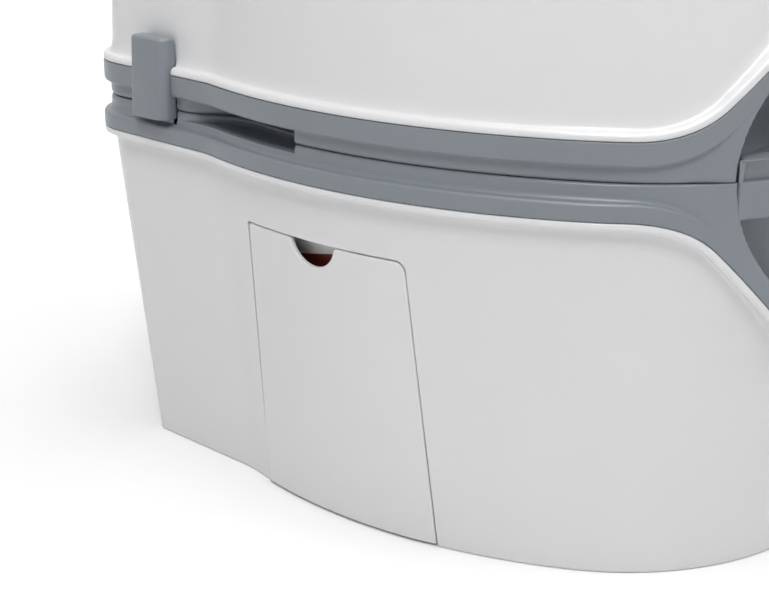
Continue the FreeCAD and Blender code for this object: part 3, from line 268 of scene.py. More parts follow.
    @staticmethod
    def soften(obj: Mesh, width: float, segments: int = 3, angle: float = 30.0) -> Mesh:
        """Round every edge sharper than an angle."""
        return Bench.finish_with(obj, "BEVEL", width=width, segments=segments, limit_method="ANGLE",
                                 angle_limit=math.radians(angle), use_clamp_overlap=True)

    @staticmethod
    def carve(obj: Mesh, cutter: Mesh) -> Mesh:
        """Take a cutter out of a piece and throw the cutter away."""
        Bench.finish_with(obj, "BOOLEAN", object=cutter, operation="DIFFERENCE", solver="EXACT")
        bpy.data.objects.remove(cutter)
        return obj

    @staticmethod
    def joined(pieces: Sequence[Mesh], name: str) -> Mesh:
        """Put several meshes into one object under the first one's place."""
        Bench.pick(pieces[0])
        for piece in pieces[1:]:
            piece.select_set(True)
        bpy.ops.object.join()
        pieces[0].name = name
        return pieces[0]

    @staticmethod
    def smooth(obj: Mesh, angle: float = 32.0) -> Mesh:
        """Shade a piece smooth apart from edges sharper than an angle."""
        Bench.pick(obj)
        bpy.ops.object.shade_smooth_by_angle(angle=math.radians(angle))
        return obj

    @staticmethod
    def thicken(sheet: Mesh, thickness: float) -> Mesh:
        """Turn a sheet on the left flank to look outwards and give it a thickness inwards.

        Args:
            sheet: flat or curved sheet.
            thickness: how thick it becomes.

        Returns:
            The same piece.
        """
        if sheet.data.polygons[0].normal.x > 0:
            Bench.pick(sheet)
            bpy.ops.object.mode_set(mode="EDIT")
            bpy.ops.mesh.select_all(action="SELECT")
            bpy.ops.mesh.flip_normals()
            bpy.ops.object.mode_set(mode="OBJECT")
        return Bench.finish_with(sheet, "SOLIDIFY", thickness=thickness, offset=-1.0)

    @staticmethod
    def strip(name: str, pairs: Sequence[tuple[Vector, Vector]], thickness: float) -> Mesh:
        """Band on the left flank, drawn between two rows of points.

        Args:
            name: name of the piece.
            pairs: the two points at each step along the band.
            thickness: how thick it is.

        Returns:
            The band.
        """
        points = [point for pair in pairs for point in pair]
        faces = [(k, k + 1, k + 3, k + 2) for k in range(0, len(points) - 2, 2)]
        return Bench.thicken(Bench.drawn(name, points, [], faces), thickness)

    @staticmethod
    def copied(node: str, name: str) -> Mesh:
        """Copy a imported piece.

        Args:
            node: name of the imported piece.
            name: name of the copy.

        Returns:
            The copy, with a mesh of its own.
        """
        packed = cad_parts[node]
        obj = bpy.data.objects.new(name, packed.data.copy())
        obj.data.transform(packed.matrix_world)
        bpy.context.scene.collection.objects.link(obj)
        return obj

    @staticmethod
    def skin(name: str, rings: Sequence[Sequence[Vector]], capped: bool = False) -> Mesh:
        """Closed moulding through rings of section points.

        Args:
            name: name of the piece.
            rings: sections in order, each a closed loop of as many points.
            capped: close the first and last ring instead of joining them.

        Returns:
            The moulding, with faces outwards.
        """
        shape = bmesh.new()
        loops = [[shape.verts.new(point) for point in ring] for ring in rings]
        count = len(loops[0])
        last = len(loops) - 1 if capped else len(loops)
        for index in range(last):
            here = loops[index]
            ahead = loops[(index + 1) % len(loops)]
            for row in range(count):
                over = (row + 1) % count
                shape.faces.new((here[row], ahead[row], ahead[over], here[over]))
        if capped:
            shape.faces.new(loops[0])
            shape.faces.new(list(reversed(loops[-1])))
        bmesh.ops.remove_doubles(shape, verts=shape.verts, dist=WELD)
        bmesh.ops.recalc_face_normals(shape, faces=shape.faces)
        mesh = bpy.data.meshes.new(name)
        shape.to_mesh(mesh)
        shape.free()
        obj = bpy.data.objects.new(name, mesh)
        bpy.context.scene.collection.objects.link(obj)
        return obj


def quarter(centre: Pair, radius: Pair, first: float, last: float, steps: int = 4) -> list[Pair]:
    """Points of an arc in a section, both ends included; radius is its two half-axes, angles in degrees."""
    angles = [math.radians(first + (last - first) * step / steps) for step in range(steps + 1)]
    return [(centre[0] + radius[0] * math.cos(a), centre[1] + radius[1] * math.sin(a)) for a in angles]


def between(first: Pair, last: Pair, steps: int) -> list[Pair]:
    """Points strictly between two section points."""
    shares = [step / (steps + 1) for step in range(1, steps + 1)]
    return [(first[0] + (last[0] - first[0]) * s, first[1] + (last[1] - first[1]) * s) for s in shares]


def clamp(value: float, low: float, high: float) -> float:
    """Keep a value between two limits."""
    return max(low, min(high, value))


def ease(share: float) -> float:
    """Soft step from nought to one."""
    share = clamp(share, 0.0, 1.0)
    return share ** 2 * (3 - 2 * share)


@dataclass(frozen=True)
class Station:
    """One place on the plan outline, with the direction that faces out of the object."""

    x: float
    y: float
    out_x: float
    out_y: float

    def inwards(self, inset: float, height: float) -> Vector:
        """Point moved in from the outline by an inset, at a height."""
        return Vector((self.x - self.out_x * inset, self.y - self.out_y * inset, height))

    def mirrored(self) -> "Station":
        """The same place on the other flank."""
        return Station(-self.x, self.y, -self.out_x, self.out_y)


@dataclass(frozen=True)
class Straight:
    """Straight stretch of the plan outline."""

    start: Vector
    end: Vector
    out: Vector

    @property
    def length(self) -> float:
        """Length of the stretch."""
        return (self.end - self.start).length

    def at(self, distance: float) -> Station:
        """Place at a distance from the start."""
        spot = self.start.lerp(self.end, distance / self.length)
        return Station(spot.x, spot.y, self.out.x, self.out.y)


@dataclass(frozen=True)
class Bend:
    """Round stretch of the plan outline; a hollow one curves the other way."""

    centre: Vector
    radius: float
    first: float
    last: float
    hollow: bool = False

    @property
    def length(self) -> float:
        """Length of the stretch."""
        return self.radius * abs(self.last - self.first)

    def at(self, distance: float) -> Station:
        """Place at a distance from the start."""
        angle = self.first + (self.last - self.first) * distance / self.length
        reach = Vector((math.cos(angle), math.sin(angle)))
        spot = self.centre + reach * self.radius
        out = -reach if self.hollow else reach
        return Station(spot.x, spot.y, out.x, out.y)


@dataclass(frozen=True)
class PlanOutline:
    """Outline of the object seen from above, made of arcs that run into each other."""

    half_depth: float = 225 * MM
    flank_half_width: float = 185.5 * MM
    bulge: float = 9 * MM
    bulge_centre_y: float = 21 * MM
    back_corner_radius: float = 40 * MM
    waist_radius: float = 60 * MM
    flank_radius: float = 322 * MM
    cheek_radius: float = 162 * MM
    nose_radius: float = 318 * MM
    pitch: float = 4 * MM
    nose_pitch: float = 1.7 * MM
    nose_reach: float = 104 * MM
    mark_width: float = 0.08 * MM
    search_steps: int = 30

    @property
    def flank_centre(self) -> Vector:
        """Centre of the bulging flank's arc on the left."""
        return Vector((self.flank_radius - self.flank_half_width - self.bulge, self.bulge_centre_y))

    @property
    def nose_centre(self) -> Vector:
        """Centre of the front's arc."""
        return Vector((0.0, self.nose_radius - self.half_depth))

    def cheek_centre(self, nose_out: float = 0.0) -> Vector:
        """Centre of the left cheek's arc, where the nose may stand further out.

        Args:
            nose_out: how much further out the nose stands than the flank.

        Returns:
            The centre that touches both neighbours.
        """
        first, second = self.flank_centre, self.nose_centre
        reach_first = self.flank_radius - self.cheek_radius
        reach_second = self.nose_radius - self.cheek_radius + nose_out
        gap = second - first
        along = (reach_first ** 2 - reach_second ** 2 + gap.length_squared) / (2 * gap.length)
        aside = math.sqrt(reach_first ** 2 - along ** 2)
        unit = gap.normalized()
        across = Vector((unit.y, -unit.x))
        choices = [first + unit * along + across * aside, first + unit * along - across * aside]
        return min(choices, key=lambda spot: spot.x + spot.y)

    @cached_property
    def runs(self) -> list[Union[Straight, Bend]]:
        """Stretches of the left half, from the middle of the back to the middle of the front."""
        flank, corner = self.flank_half_width, self.back_corner_radius
        rise = math.sqrt(2 * (self.flank_radius + self.waist_radius) * self.bulge - self.bulge ** 2)
        jog = Vector((-flank - self.waist_radius, self.bulge_centre_y + rise))
        side, nose, cheek = self.flank_centre, self.nose_centre, self.cheek_centre()
        turn = math.pi
        tilt = math.atan2(side.y - jog.y, side.x - jog.x)
        low = math.atan2(cheek.y - side.y, cheek.x - side.x) % (2 * turn)
        front = math.atan2(cheek.y - nose.y, cheek.x - nose.x) % (2 * turn)
        back = self.half_depth
        corner_spot = Vector((corner - flank, back - corner))
        return [Straight(Vector((0.0, back)), Vector((corner_spot.x, back)), Vector((0.0, 1.0))),
                Bend(corner_spot, corner, turn / 2, turn),
                Straight(Vector((-flank, corner_spot.y)), Vector((-flank, jog.y)), Vector((-1.0, 0.0))),
                Bend(jog, self.waist_radius, 0.0, tilt, hollow=True),
                Bend(side, self.flank_radius, turn + tilt, low),
                Bend(cheek, self.cheek_radius, low, front),
                Bend(nose, self.nose_radius, front, 1.5 * turn)]

    def at(self, distance: float) -> Station:
        """Place on the left half at a distance from the middle of the back."""
        for run in self.runs:
            if distance <= run.length:
                return run.at(distance)
            distance -= run.length
        return self.runs[-1].at(self.runs[-1].length)

    def stations(self, marks: Sequence[float] = ()) -> list[Station]:
        """Places all round the outline.

        Args:
            marks: depths on the flanks where something starts or ends; each gets two close places.

        Returns:
            The places in order, from the middle of the back over the left flank and round.
        """
        nose_from = self.half_length - self.nose_reach
        count = round(nose_from / self.pitch)
        fine = round(self.nose_reach / self.nose_pitch)
        distances = [nose_from * step / count for step in range(count)]
        distances += [nose_from + self.nose_reach * step / fine for step in range(fine + 1)]
        for mark in marks:
            spot = self._distance_to(mark)
            distances = [value for value in distances if abs(value - spot) > self.pitch / 4]
            distances += [spot - self.mark_width, spot + self.mark_width]
        left = [self.at(value) for value in sorted(distances)]
        right = [place.mirrored() for place in reversed(left[1:-1])]
        return left + right

    @cached_property
    def half_length(self) -> float:
        """Length of the left half of the outline."""
        return sum(run.length for run in self.runs)

    def _search(self, low: float, high: float, before: Callable[[Station], bool]) -> float:
        """Distance along the left half up to which a test holds, found by halving.

        Args:
            low: distance at which the test holds.
            high: distance at which it doesn't.
            before: the test of a place.

        Returns:
            The distance.
        """
        for _ in range(self.search_steps):
            middle = (low + high) / 2
            if before(self.at(middle)):
                low = middle
            else:
                high = middle
        return (low + high) / 2

    def _distance_to(self, depth: float, inset: float = 0.0) -> float:
        """Distance along the left half at which a depth on the flank is reached, at an inset."""
        return self._search(self.flank_half_width, self.half_length,
                            lambda place: place.inwards(inset, 0.0).y > depth)

    def flank_spot(self, depth: float, inset: float) -> Vector:
        """Point on the left flank at a depth, moved in by an inset."""
        return self.at(self._distance_to(depth, inset)).inwards(inset, 0.0)

    def nose_depth(self, across: float, inset: float) -> float:
        """Depth of the front at a distance from the middle plane, moved in by an inset."""
        distance = self._search(self._distance_to(0.0), self.half_length,
                                lambda place: abs(place.inwards(inset, 0.0).x) > across)
        return self.at(distance).inwards(inset, 0.0).y

    def neck_inset(self, place: Station, inset: float, nose_inset: float) -> float:
        """Inset of the necked groove, which runs out along the cheeks.

        Args:
            place: place on the outline.
            inset: depth of the groove on flanks and back.
            nose_inset: what is left of it at the front.

        Returns:
            The groove's depth there.
        """
        if place.y > self.bulge_centre_y:
            return inset
        spot = Vector((-abs(place.x), place.y))
        out = Vector((-abs(place.out_x), place.out_y))
        cheek = self.cheek_centre(inset - nose_inset)
        full = 2 * math.pi
        low = math.atan2(cheek.y - self.flank_centre.y, cheek.x - self.flank_centre.x) % full
        front = math.atan2(cheek.y - self.nose_centre.y, cheek.x - self.nose_centre.x) % full
        from_flank = spot - self.flank_centre
        if math.atan2(from_flank.y, from_flank.x) % full <= low:
            return inset
        from_nose = spot - self.nose_centre
        if math.atan2(from_nose.y, from_nose.x) % full >= front:
            return nose_inset
        reach = spot - cheek
        ahead = reach.dot(out)
        inside = ahead ** 2 - reach.length_squared + (self.cheek_radius - inset) ** 2
        return clamp(ahead - math.sqrt(max(inside, 0.0)), nose_inset, inset)


@dataclass(frozen=True)
class FrontSweep:
    """Edge between white and grey: level on flanks and back, swept up or down at the front."""

    side: float
    middle: float
    outer_x: float
    angle: float
    outer_radius: float
    mid_radius: float
    probe: float = 0.5 * MM

    def step(self, across: float) -> float:
        """How far the edge has left its side level at a distance from the middle plane."""
        rise = abs(self.middle - self.side)
        lean = math.tan(self.angle / 2)
        level_from = self.outer_x + self.outer_radius * lean
        slope_from = level_from - self.outer_radius * math.sin(self.angle)
        mid_from = self.outer_x - rise / math.tan(self.angle) - self.mid_radius * lean
        slope_to = mid_from + self.mid_radius * math.sin(self.angle)
        if across >= level_from:
            return 0.0
        if across >= slope_from:
            return self.outer_radius - math.sqrt(self.outer_radius ** 2 - (level_from - across) ** 2)
        if across >= slope_to:
            return (self.outer_x - across) * math.tan(self.angle)
        if across >= mid_from:
            return rise - self.mid_radius + math.sqrt(self.mid_radius ** 2 - (across - mid_from) ** 2)
        return rise

    def level(self, place: Station) -> float:
        """Height of the edge at a place on the outline."""
        if place.y >= 0:
            return self.side
        return self.side + math.copysign(self.step(abs(place.x)), self.middle - self.side)

    def spread(self, place: Station) -> float:
        """How much taller a band along the edge is there, measured straight up."""
        if place.y >= 0:
            return 1.0
        across, near = abs(place.x), self.probe
        slope = (self.step(across + near) - self.step(across - near)) / (2 * near)
        return math.hypot(1.0, slope)


@dataclass(frozen=True)
class Scoop:
    """Round hollow in the middle of the front, behind the pull handle."""

    level: float
    centre_y: float
    radius: float = 88 * MM
    rise: float = 80 * MM
    depth: float = 45 * MM
    softness: float = 5 * MM
    flare: float = 1.6

    def floor(self, share: float) -> float:
        """Depth of the hollow's floor, by the share of the way from its middle to its rim."""
        if share < 1:
            return self.centre_y + self.depth * math.sqrt(1 - share ** 2)
        return self.centre_y - self.flare * (share - 1) * self.radius

    def press(self, point: Vector, deeper: float = 0.0) -> Vector:
        """Push a point of the front back into the hollow.

        Args:
            point: point of the surface.
            deeper: extra depth, for the inner side of the wall.

        Returns:
            The point as it lies with the hollow pressed in.
        """
        if point.y > self.centre_y + self.depth + deeper or abs(point.x) > 2 * self.radius:
            return point
        share = math.hypot(point.x / self.radius, (point.z - self.level) / self.rise)
        floor = self.floor(share)
        gap = point.y - floor - deeper
        pushed = (point.y + floor + deeper + math.hypot(gap, self.softness)) / 2
        settled = self.softness ** 2 / (4 * abs(gap) + self.softness) if gap > 0 else 0.0
        return Vector((point.x, pushed - settled * clamp(share - 1, 0.0, 1.0), point.z))


@dataclass(frozen=True)
class Levels:
    """Main heights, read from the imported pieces."""

    jacket_top: float
    split: float
    upper_edge: float
    tank_top: float
    low_sweep: float
    high_sweep: float

    @classmethod
    def from_frame(cls) -> "Levels":
        """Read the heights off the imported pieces' boxes."""
        return cls(jacket_top=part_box("lower_shell")[1].z, split=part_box("tank_deck")[1].z,
                   upper_edge=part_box("flush_shell")[0].z, tank_top=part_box("flush_shell")[1].z,
                   low_sweep=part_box("tank_deck")[0].z, high_sweep=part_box("base_frame")[1].z)


def wire(tree: bpy.types.NodeTree, kind: str, sockets: dict[Union[str, int], object],
         **settings: object) -> bpy.types.Node:
    """Add a shader node and feed its sockets.

    Args:
        tree: tree that gets the node.
        kind: the node's type, without the leading ShaderNode.
        sockets: for each input a value, or the output that is linked to it.
        settings: other properties of the node.

    Returns:
        The node.
    """
    node = tree.nodes.new("ShaderNode" + kind)
    for name, value in settings.items():
        setattr(node, name, value)
    for name, value in sockets.items():
        if isinstance(value, bpy.types.NodeSocket):
            tree.links.new(value, node.inputs[name])
        else:
            node.inputs[name].default_value = value
    return node


class NodeGroups:
    """Shader effects shared by several finishes, each built once."""

    @staticmethod
    def _fresh(name: str, inputs: dict[str, str], outputs: dict[str, str]) -> bpy.types.NodeTree:
        """Empty node group with named sockets."""
        tree = bpy.data.node_groups.new(name, "ShaderNodeTree")
        for label, kind in inputs.items():
            tree.interface.new_socket(label, in_out="INPUT", socket_type=kind)
        for label, kind in outputs.items():
            tree.interface.new_socket(label, in_out="OUTPUT", socket_type=kind)
        tree.nodes.new("NodeGroupInput").name = "Inputs"
        tree.nodes.new("NodeGroupOutput").name = "Outputs"
        return tree

    @staticmethod
    def grain() -> bpy.types.NodeTree:
        """Fine pebbled grain of a moulded surface, as a height."""
        name = "moulded grain"
        if name in bpy.data.node_groups:
            return bpy.data.node_groups[name]
        tree = NodeGroups._fresh(name, {"Vector": "NodeSocketVector", "Scale": "NodeSocketFloat"},
                                 {"Height": "NodeSocketFloat"})
        given = tree.nodes["Inputs"].outputs
        pebbles = wire(tree, "TexVoronoi", {"Vector": given["Vector"], "Scale": given["Scale"],
                                            "Smoothness": 0.8}, feature="SMOOTH_F1")
        slow = wire(tree, "Math", {0: given["Scale"], 1: 0.013}, operation="MULTIPLY")
        flow = wire(tree, "TexNoise", {"Vector": given["Vector"], "Scale": slow.outputs[0], "Detail": 3.0})
        height = wire(tree, "Math", {0: flow.outputs["Fac"], 1: 0.35, 2: pebbles.outputs["Distance"]},
                      operation="MULTIPLY_ADD")
        tree.links.new(height.outputs[0], tree.nodes["Outputs"].inputs["Height"])
        return tree

    @staticmethod
    def mottle() -> bpy.types.NodeTree:
        """Slow drift of the colour over a moulding."""
        name = "soft mottling"
        if name in bpy.data.node_groups:
            return bpy.data.node_groups[name]
        tree = NodeGroups._fresh(name, {"Vector": "NodeSocketVector", "Light": "NodeSocketColor",
                                        "Dark": "NodeSocketColor", "Scale": "NodeSocketFloat"},
                                 {"Color": "NodeSocketColor"})
        given = tree.nodes["Inputs"].outputs
        clouds = wire(tree, "TexNoise", {"Vector": given["Vector"], "Scale": given["Scale"],
                                         "Detail": 5.0, "Roughness": 0.6})
        ramp = wire(tree, "ValToRGB", {"Fac": clouds.outputs["Fac"]})
        ramp.color_ramp.elements[0].position = 0.32
        ramp.color_ramp.elements[1].position = 0.68
        mix = wire(tree, "Mix", {"Factor": ramp.outputs["Color"], "A": given["Dark"], "B": given["Light"]},
                   data_type="RGBA")
        tree.links.new(mix.outputs["Result"], tree.nodes["Outputs"].inputs["Color"])
        return tree

    @staticmethod
    def handling() -> bpy.types.NodeTree:
        """Faint rub marks from handling, as a mask that dulls or polishes the sheen."""
        name = "handling marks"
        if name in bpy.data.node_groups:
            return bpy.data.node_groups[name]
        tree = NodeGroups._fresh(name, {"Vector": "NodeSocketVector"}, {"Mask": "NodeSocketFloat"})
        given = tree.nodes["Inputs"].outputs["Vector"]
        stretch = wire(tree, "Mapping", {"Vector": given, "Scale": (900.0, 60.0, 140.0),
                                         "Rotation": (0.4, 0.7, 0.2)})
        lines = wire(tree, "TexNoise", {"Vector": stretch.outputs["Vector"], "Scale": 1.0})
        patches = wire(tree, "TexNoise", {"Vector": given, "Scale": 14.0})
        both = wire(tree, "Math", {0: lines.outputs["Fac"], 1: patches.outputs["Fac"]}, operation="MULTIPLY")
        tree.links.new(both.outputs[0], tree.nodes["Outputs"].inputs["Mask"])
        return tree


@dataclass(frozen=True)
class Finish:
    """Moulded or drawn surface: its colours, its sheen and its grain."""

    name: str
    slot: str
    light: Colour
    dark: Colour
    sheen_low: float
    sheen_high: float
    grain_scale: float
    grain_depth: float
    cloud_scale: float = 9.0
    metal: float = 0.0
    coat: float = 0.0
    rub_low: float = 0.1
    rub_high: float = 0.45

    def material(self) -> bpy.types.Material:
        """Procedural material of this finish, made the first time it is asked for."""
        if self.name in bpy.data.materials:
            return bpy.data.materials[self.name]
        material = bpy.data.materials.new(self.name)
        material.use_nodes = True
        tree = material.node_tree
        shader = tree.nodes["Principled BSDF"]
        shader.inputs["Metallic"].default_value = self.metal
        shader.inputs["Coat Weight"].default_value = self.coat
        place = wire(tree, "TexCoord", {}).outputs["Object"]
        colour = wire(tree, "Group", {"Vector": place, "Scale": self.cloud_scale, "Light": (*self.light, 1.0),
                                      "Dark": (*self.dark, 1.0)}, node_tree=NodeGroups.mottle())
        grain = wire(tree, "Group", {"Vector": place, "Scale": self.grain_scale},
                     node_tree=NodeGroups.grain())
        marks = wire(tree, "Group", {"Vector": place}, node_tree=NodeGroups.handling())
        sheen = wire(tree, "MapRange", {"Value": marks.outputs["Mask"], "From Min": self.rub_low,
                                        "From Max": self.rub_high, "To Min": self.sheen_low,
                                        "To Max": self.sheen_high})
        bump = wire(tree, "Bump", {"Height": grain.outputs["Height"], "Distance": self.grain_depth,
                                   "Strength": 1.0})
        tree.links.new(colour.outputs["Color"], shader.inputs["Base Color"])
        tree.links.new(sheen.outputs["Result"], shader.inputs["Roughness"])
        tree.links.new(bump.outputs["Normal"], shader.inputs["Normal"])
        return material


WHITE = Finish("white moulding", "white_shell", (0.795, 0.795, 0.805), (0.775, 0.775, 0.785),
               0.25, 0.265, 2600.0, 0.004 * MM, coat=0.1)
GREY = Finish("grey moulding", "grey_trim", (0.225, 0.250, 0.274), (0.210, 0.234, 0.258),
              0.33, 0.37, 1900.0, 0.012 * MM)
KNOB = Finish("grey knob", "grey_knob", (0.165, 0.185, 0.205), (0.150, 0.168, 0.187),
              0.38, 0.50, 1700.0, 0.025 * MM)
INNER = Finish("inner moulding", "inner_plastic", (0.62, 0.63, 0.62), (0.56, 0.57, 0.56),
               0.42, 0.55, 1500.0, 0.02 * MM)
# Painted shade: this dark red-brown stands in for the warm-tinted shadow inside the paper store, seen through
# the door's finger notch
BIN_PAINTED_SHADE = Finish("bin painted shade", "inner_plastic", (0.28, 0.050, 0.026), (0.24, 0.041, 0.021),
             0.45, 0.58, 1500.0, 0.02 * MM)
SEAT = Finish("seat gloss", "seat_white", (0.80, 0.80, 0.785), (0.775, 0.775, 0.76),
              0.23, 0.25, 3200.0, 0.004 * MM, coat=0.3)
RUBBER = Finish("seal rubber", "seal_rubber", (0.035, 0.035, 0.036), (0.022, 0.022, 0.023),
                0.62, 0.78, 900.0, 0.03 * MM)
STEEL = Finish("drawn pin", "pin_steel", (0.62, 0.62, 0.61), (0.52, 0.52, 0.51),
               0.24, 0.40, 2400.0, 0.008 * MM, metal=1.0)


def present(obj: Mesh, body: str, finish: Finish, *nodes: str) -> Mesh:
    """Dress a finished piece and tie it to the part.

    Args:
        obj: the piece.
        body: body that it moves with.
        finish: its surface.
        nodes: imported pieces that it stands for.

    Returns:
        The same piece.
    """
    obj.data.materials.clear()
    obj.data.materials.append(finish.material())
    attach(obj, body)
    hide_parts(*nodes)
    log.info("%s: %d faces on %s", obj.name, len(obj.data.polygons), body)
    return obj


@dataclass(frozen=True)
class DoorOutline:
    """Outline of the paper door seen from its flank; its sides flare towards the floor."""

    top: float = 172 * MM
    back: float = 66.6 * MM
    front: float = -56.3 * MM
    flare: float = 7 * MM
    back_radius: float = 2 * MM
    front_radius: float = 6 * MM
    notch_y: float = 8 * MM
    notch_radius: float = 17.7 * MM
    notch_rise: float = 2.7 * MM

    def spread(self, height: float) -> float:
        """How much further out a side lies at a height than at the top."""
        return self.flare * (self.top - height) / self.top

    def loop(self, foot: float) -> list[Pair]:
        """Outline of the opening as (depth, height) points, from the foot at the front round the top."""
        wide = self.spread(foot)
        rear, fore = self.back_radius, self.front_radius
        return [(self.front - wide, foot), (self.back + wide, foot),
                *quarter((self.back - rear, self.top - rear), (rear, rear), 0, 90, 6),
                *quarter((self.front + fore, self.top - fore), (fore, fore), 90, 180, 8)]

    def top_edge(self, depth: float, gap: float) -> float:
        """Height of the door's own top edge at a depth, with the finger notch."""
        level = self.top - gap
        front, back = self.front + gap, self.back - gap
        drop = 0.0
        if depth < front + self.front_radius:
            aside = clamp(front + self.front_radius - depth, 0.0, self.front_radius)
            drop = self.front_radius - math.sqrt(self.front_radius ** 2 - aside ** 2)
        if depth > back - self.back_radius:
            aside = clamp(depth - back + self.back_radius, 0.0, self.back_radius)
            drop = self.back_radius - math.sqrt(self.back_radius ** 2 - aside ** 2)
        across = abs(depth - self.notch_y)
        if across < self.notch_radius:
            arc = math.sqrt(self.notch_radius ** 2 - across ** 2)
            drop = max(drop, level - (self.top + self.notch_rise - arc))
        return level - drop


@dataclass
class LowerShell:
    """White jacket of the lower unit with its bead, door opening and rear window."""

    outline: PlanOutline
    levels: Levels
    sweep: FrontSweep
    door: DoorOutline
    base_inset: float = 27.5 * MM
    wall_inset: float = 6 * MM
    wall: float = 3 * MM
    bead_height: float = 4 * MM
    bead_round: float = 1.4 * MM
    fillet: float = 2.4 * MM
    foot_round: float = 2.2 * MM
    foot_step: float = 1 * MM
    parting: float = 0.15 * MM
    wall_steps: int = 26
    cutter_reach: float = 50 * MM
    cutter_length: float = 110 * MM
    cutter_drop: float = 1.5 * MM
    window_half_width: float = 104 * MM
    window_sill: float = 60 * MM
    window_head: float = 9 * MM
    window_round: float = 10 * MM
    window_reach: float = 20 * MM
    window_length: float = 70 * MM
    rebate_inset: float = 3.3 * MM
    rebate_thickness: float = 1.6 * MM
    rebate_cover: float = 3 * MM
    rebate_show: float = 2.6 * MM
    rebate_foot: float = 38 * MM
    rebate_end: float = 70 * MM
    rebate_head: float = 16 * MM
    rebate_steps: int = 24
    head_inset: float = 10 * MM
    head_half_width: float = 25 * MM
    head_drop: float = 9.5 * MM
    head_lean: float = 0.188

    def wall_at(self, height: float) -> float:
        """Inset of the wall's outside at a height."""
        slope = (self.base_inset - self.wall_inset) / self.levels.jacket_top
        return self.base_inset - slope * height

    def section(self, place: Station) -> list[Pair]:
        """Section of the jacket as (inset, height) points, bead first."""
        top = self.sweep.level(place) - self.parting
        tall = self.sweep.spread(place)
        radius = self.bead_round
        under = top - self.bead_height * tall
        start = under - self.fillet
        inner = self.wall_at(start)
        round_foot = self.foot_round
        rows = [(inner + self.wall, top)]
        rows += quarter((radius, top - radius * tall), (radius, radius * tall), 90, 180, 5)
        rows += quarter((radius, under + radius * tall), (radius, radius * tall), 180, 270, 5)
        rows += quarter((inner - self.fillet, start), (self.fillet, self.fillet), 90, 0, 5)
        low = (self.wall_at(round_foot), round_foot)
        rows += between((inner, start), low, self.wall_steps)
        rows += quarter((low[0] + round_foot, round_foot), (round_foot, round_foot), 180, 270, 4)
        rows += [(self.base_inset + self.wall + self.foot_step, 0.0)]
        rows += between((self.base_inset + self.wall, self.foot_step), (inner + self.wall, start), 4)
        return rows

    def build(self) -> Mesh:
        """Skin the jacket and cut its two openings."""
        places = self.outline.stations()
        rings = [[place.inwards(*row) for row in self.section(place)] for place in places]
        shell = Bench.skin("lower_jacket", rings)
        Bench.carve(shell, self._door_cutter())
        Bench.carve(shell, self._window_cutter())
        shell = Bench.joined([shell, self._rebate()], "lower_jacket")
        return present(Bench.smooth(shell), "body", WHITE, "lower_shell")

    def on_flank(self, depth: float, height: float, inset: float) -> Vector:
        """Point of the left flank at a depth and a height, further in by an inset."""
        spot = self.outline.flank_spot(depth, self.wall_at(height) + inset)
        return Vector((spot.x, spot.y, height))

    def head_edge(self, depth: float) -> float:
        """Height of the lower edge of the ledge above the finger notch."""
        aside = clamp(self.door.notch_y - depth, -self.head_half_width, self.head_half_width)
        return self.door.top - self.head_drop + self.head_lean * aside

    def _rebate_edges(self) -> list[tuple[Pair, Pair, float]]:
        """Outer and inner edge of the ledge behind the door, as (depth, height) pairs, and its inset."""
        door, cover, show = self.door, self.rebate_cover, self.rebate_show
        high = door.top + cover
        foot, head = self.rebate_foot, door.top - self.rebate_head
        steps = self.rebate_steps
        edges = []
        for step in range(steps):
            height = foot + (head - foot) * step / (steps - 1)
            back = door.back + door.spread(height)
            edges.append(((back + cover, height), (back - show, height), self.rebate_inset))
        first, last = door.back - show, door.front + show
        edges.append(((door.back + cover, high), (first, head), self.rebate_inset))
        for step in range(1, steps):
            depth = first + (last - first) * step / steps
            edges.append(((depth, high), (depth, self.head_edge(depth)), self.head_inset))
        edges.append(((door.front - cover, high), (last, head), self.rebate_inset))
        for step in range(steps):
            height = head + (self.rebate_end - head) * step / (steps - 1)
            front = door.front - door.spread(height)
            edges.append(((front - cover, height), (front + show, height), self.rebate_inset))
        return edges

    def _rebate(self) -> Mesh:
        """Ledge round the door opening behind the door, set further back at the finger notch."""
        pairs = [(self.on_flank(*outer, inset), self.on_flank(*inner, inset))
                 for outer, inner, inset in self._rebate_edges()]
        return Bench.strip("door_rebate", pairs, self.rebate_thickness)

    def _door_cutter(self) -> Mesh:
        """Block that cuts the door opening through the left flank."""
        outside = -self.outline.flank_half_width - self.cutter_reach
        corners = [Vector((outside, depth, height)) for depth, height in self.door.loop(-self.cutter_drop)]
        return Bench.plate("door_cutter", corners, Vector((self.cutter_length, 0, 0)))

    def _window_cutter(self) -> Mesh:
        """Block that cuts the window in the rear wall."""
        half, radius = self.window_half_width, self.window_round
        low = self.levels.jacket_top - self.window_sill
        high = self.levels.jacket_top - self.window_head
        spots = [((half - radius, high - radius), 0), ((radius - half, high - radius), 90),
                 ((radius - half, low + radius), 180), ((half - radius, low + radius), 270)]
        loop = [point for spot, first in spots
                for point in quarter(spot, (radius, radius), first, first + 90, 6)]
        corners = [Vector((x, self.outline.half_depth + self.window_reach, z)) for x, z in loop]
        return Bench.plate("window_cutter", corners, Vector((0, -self.window_length, 0)))


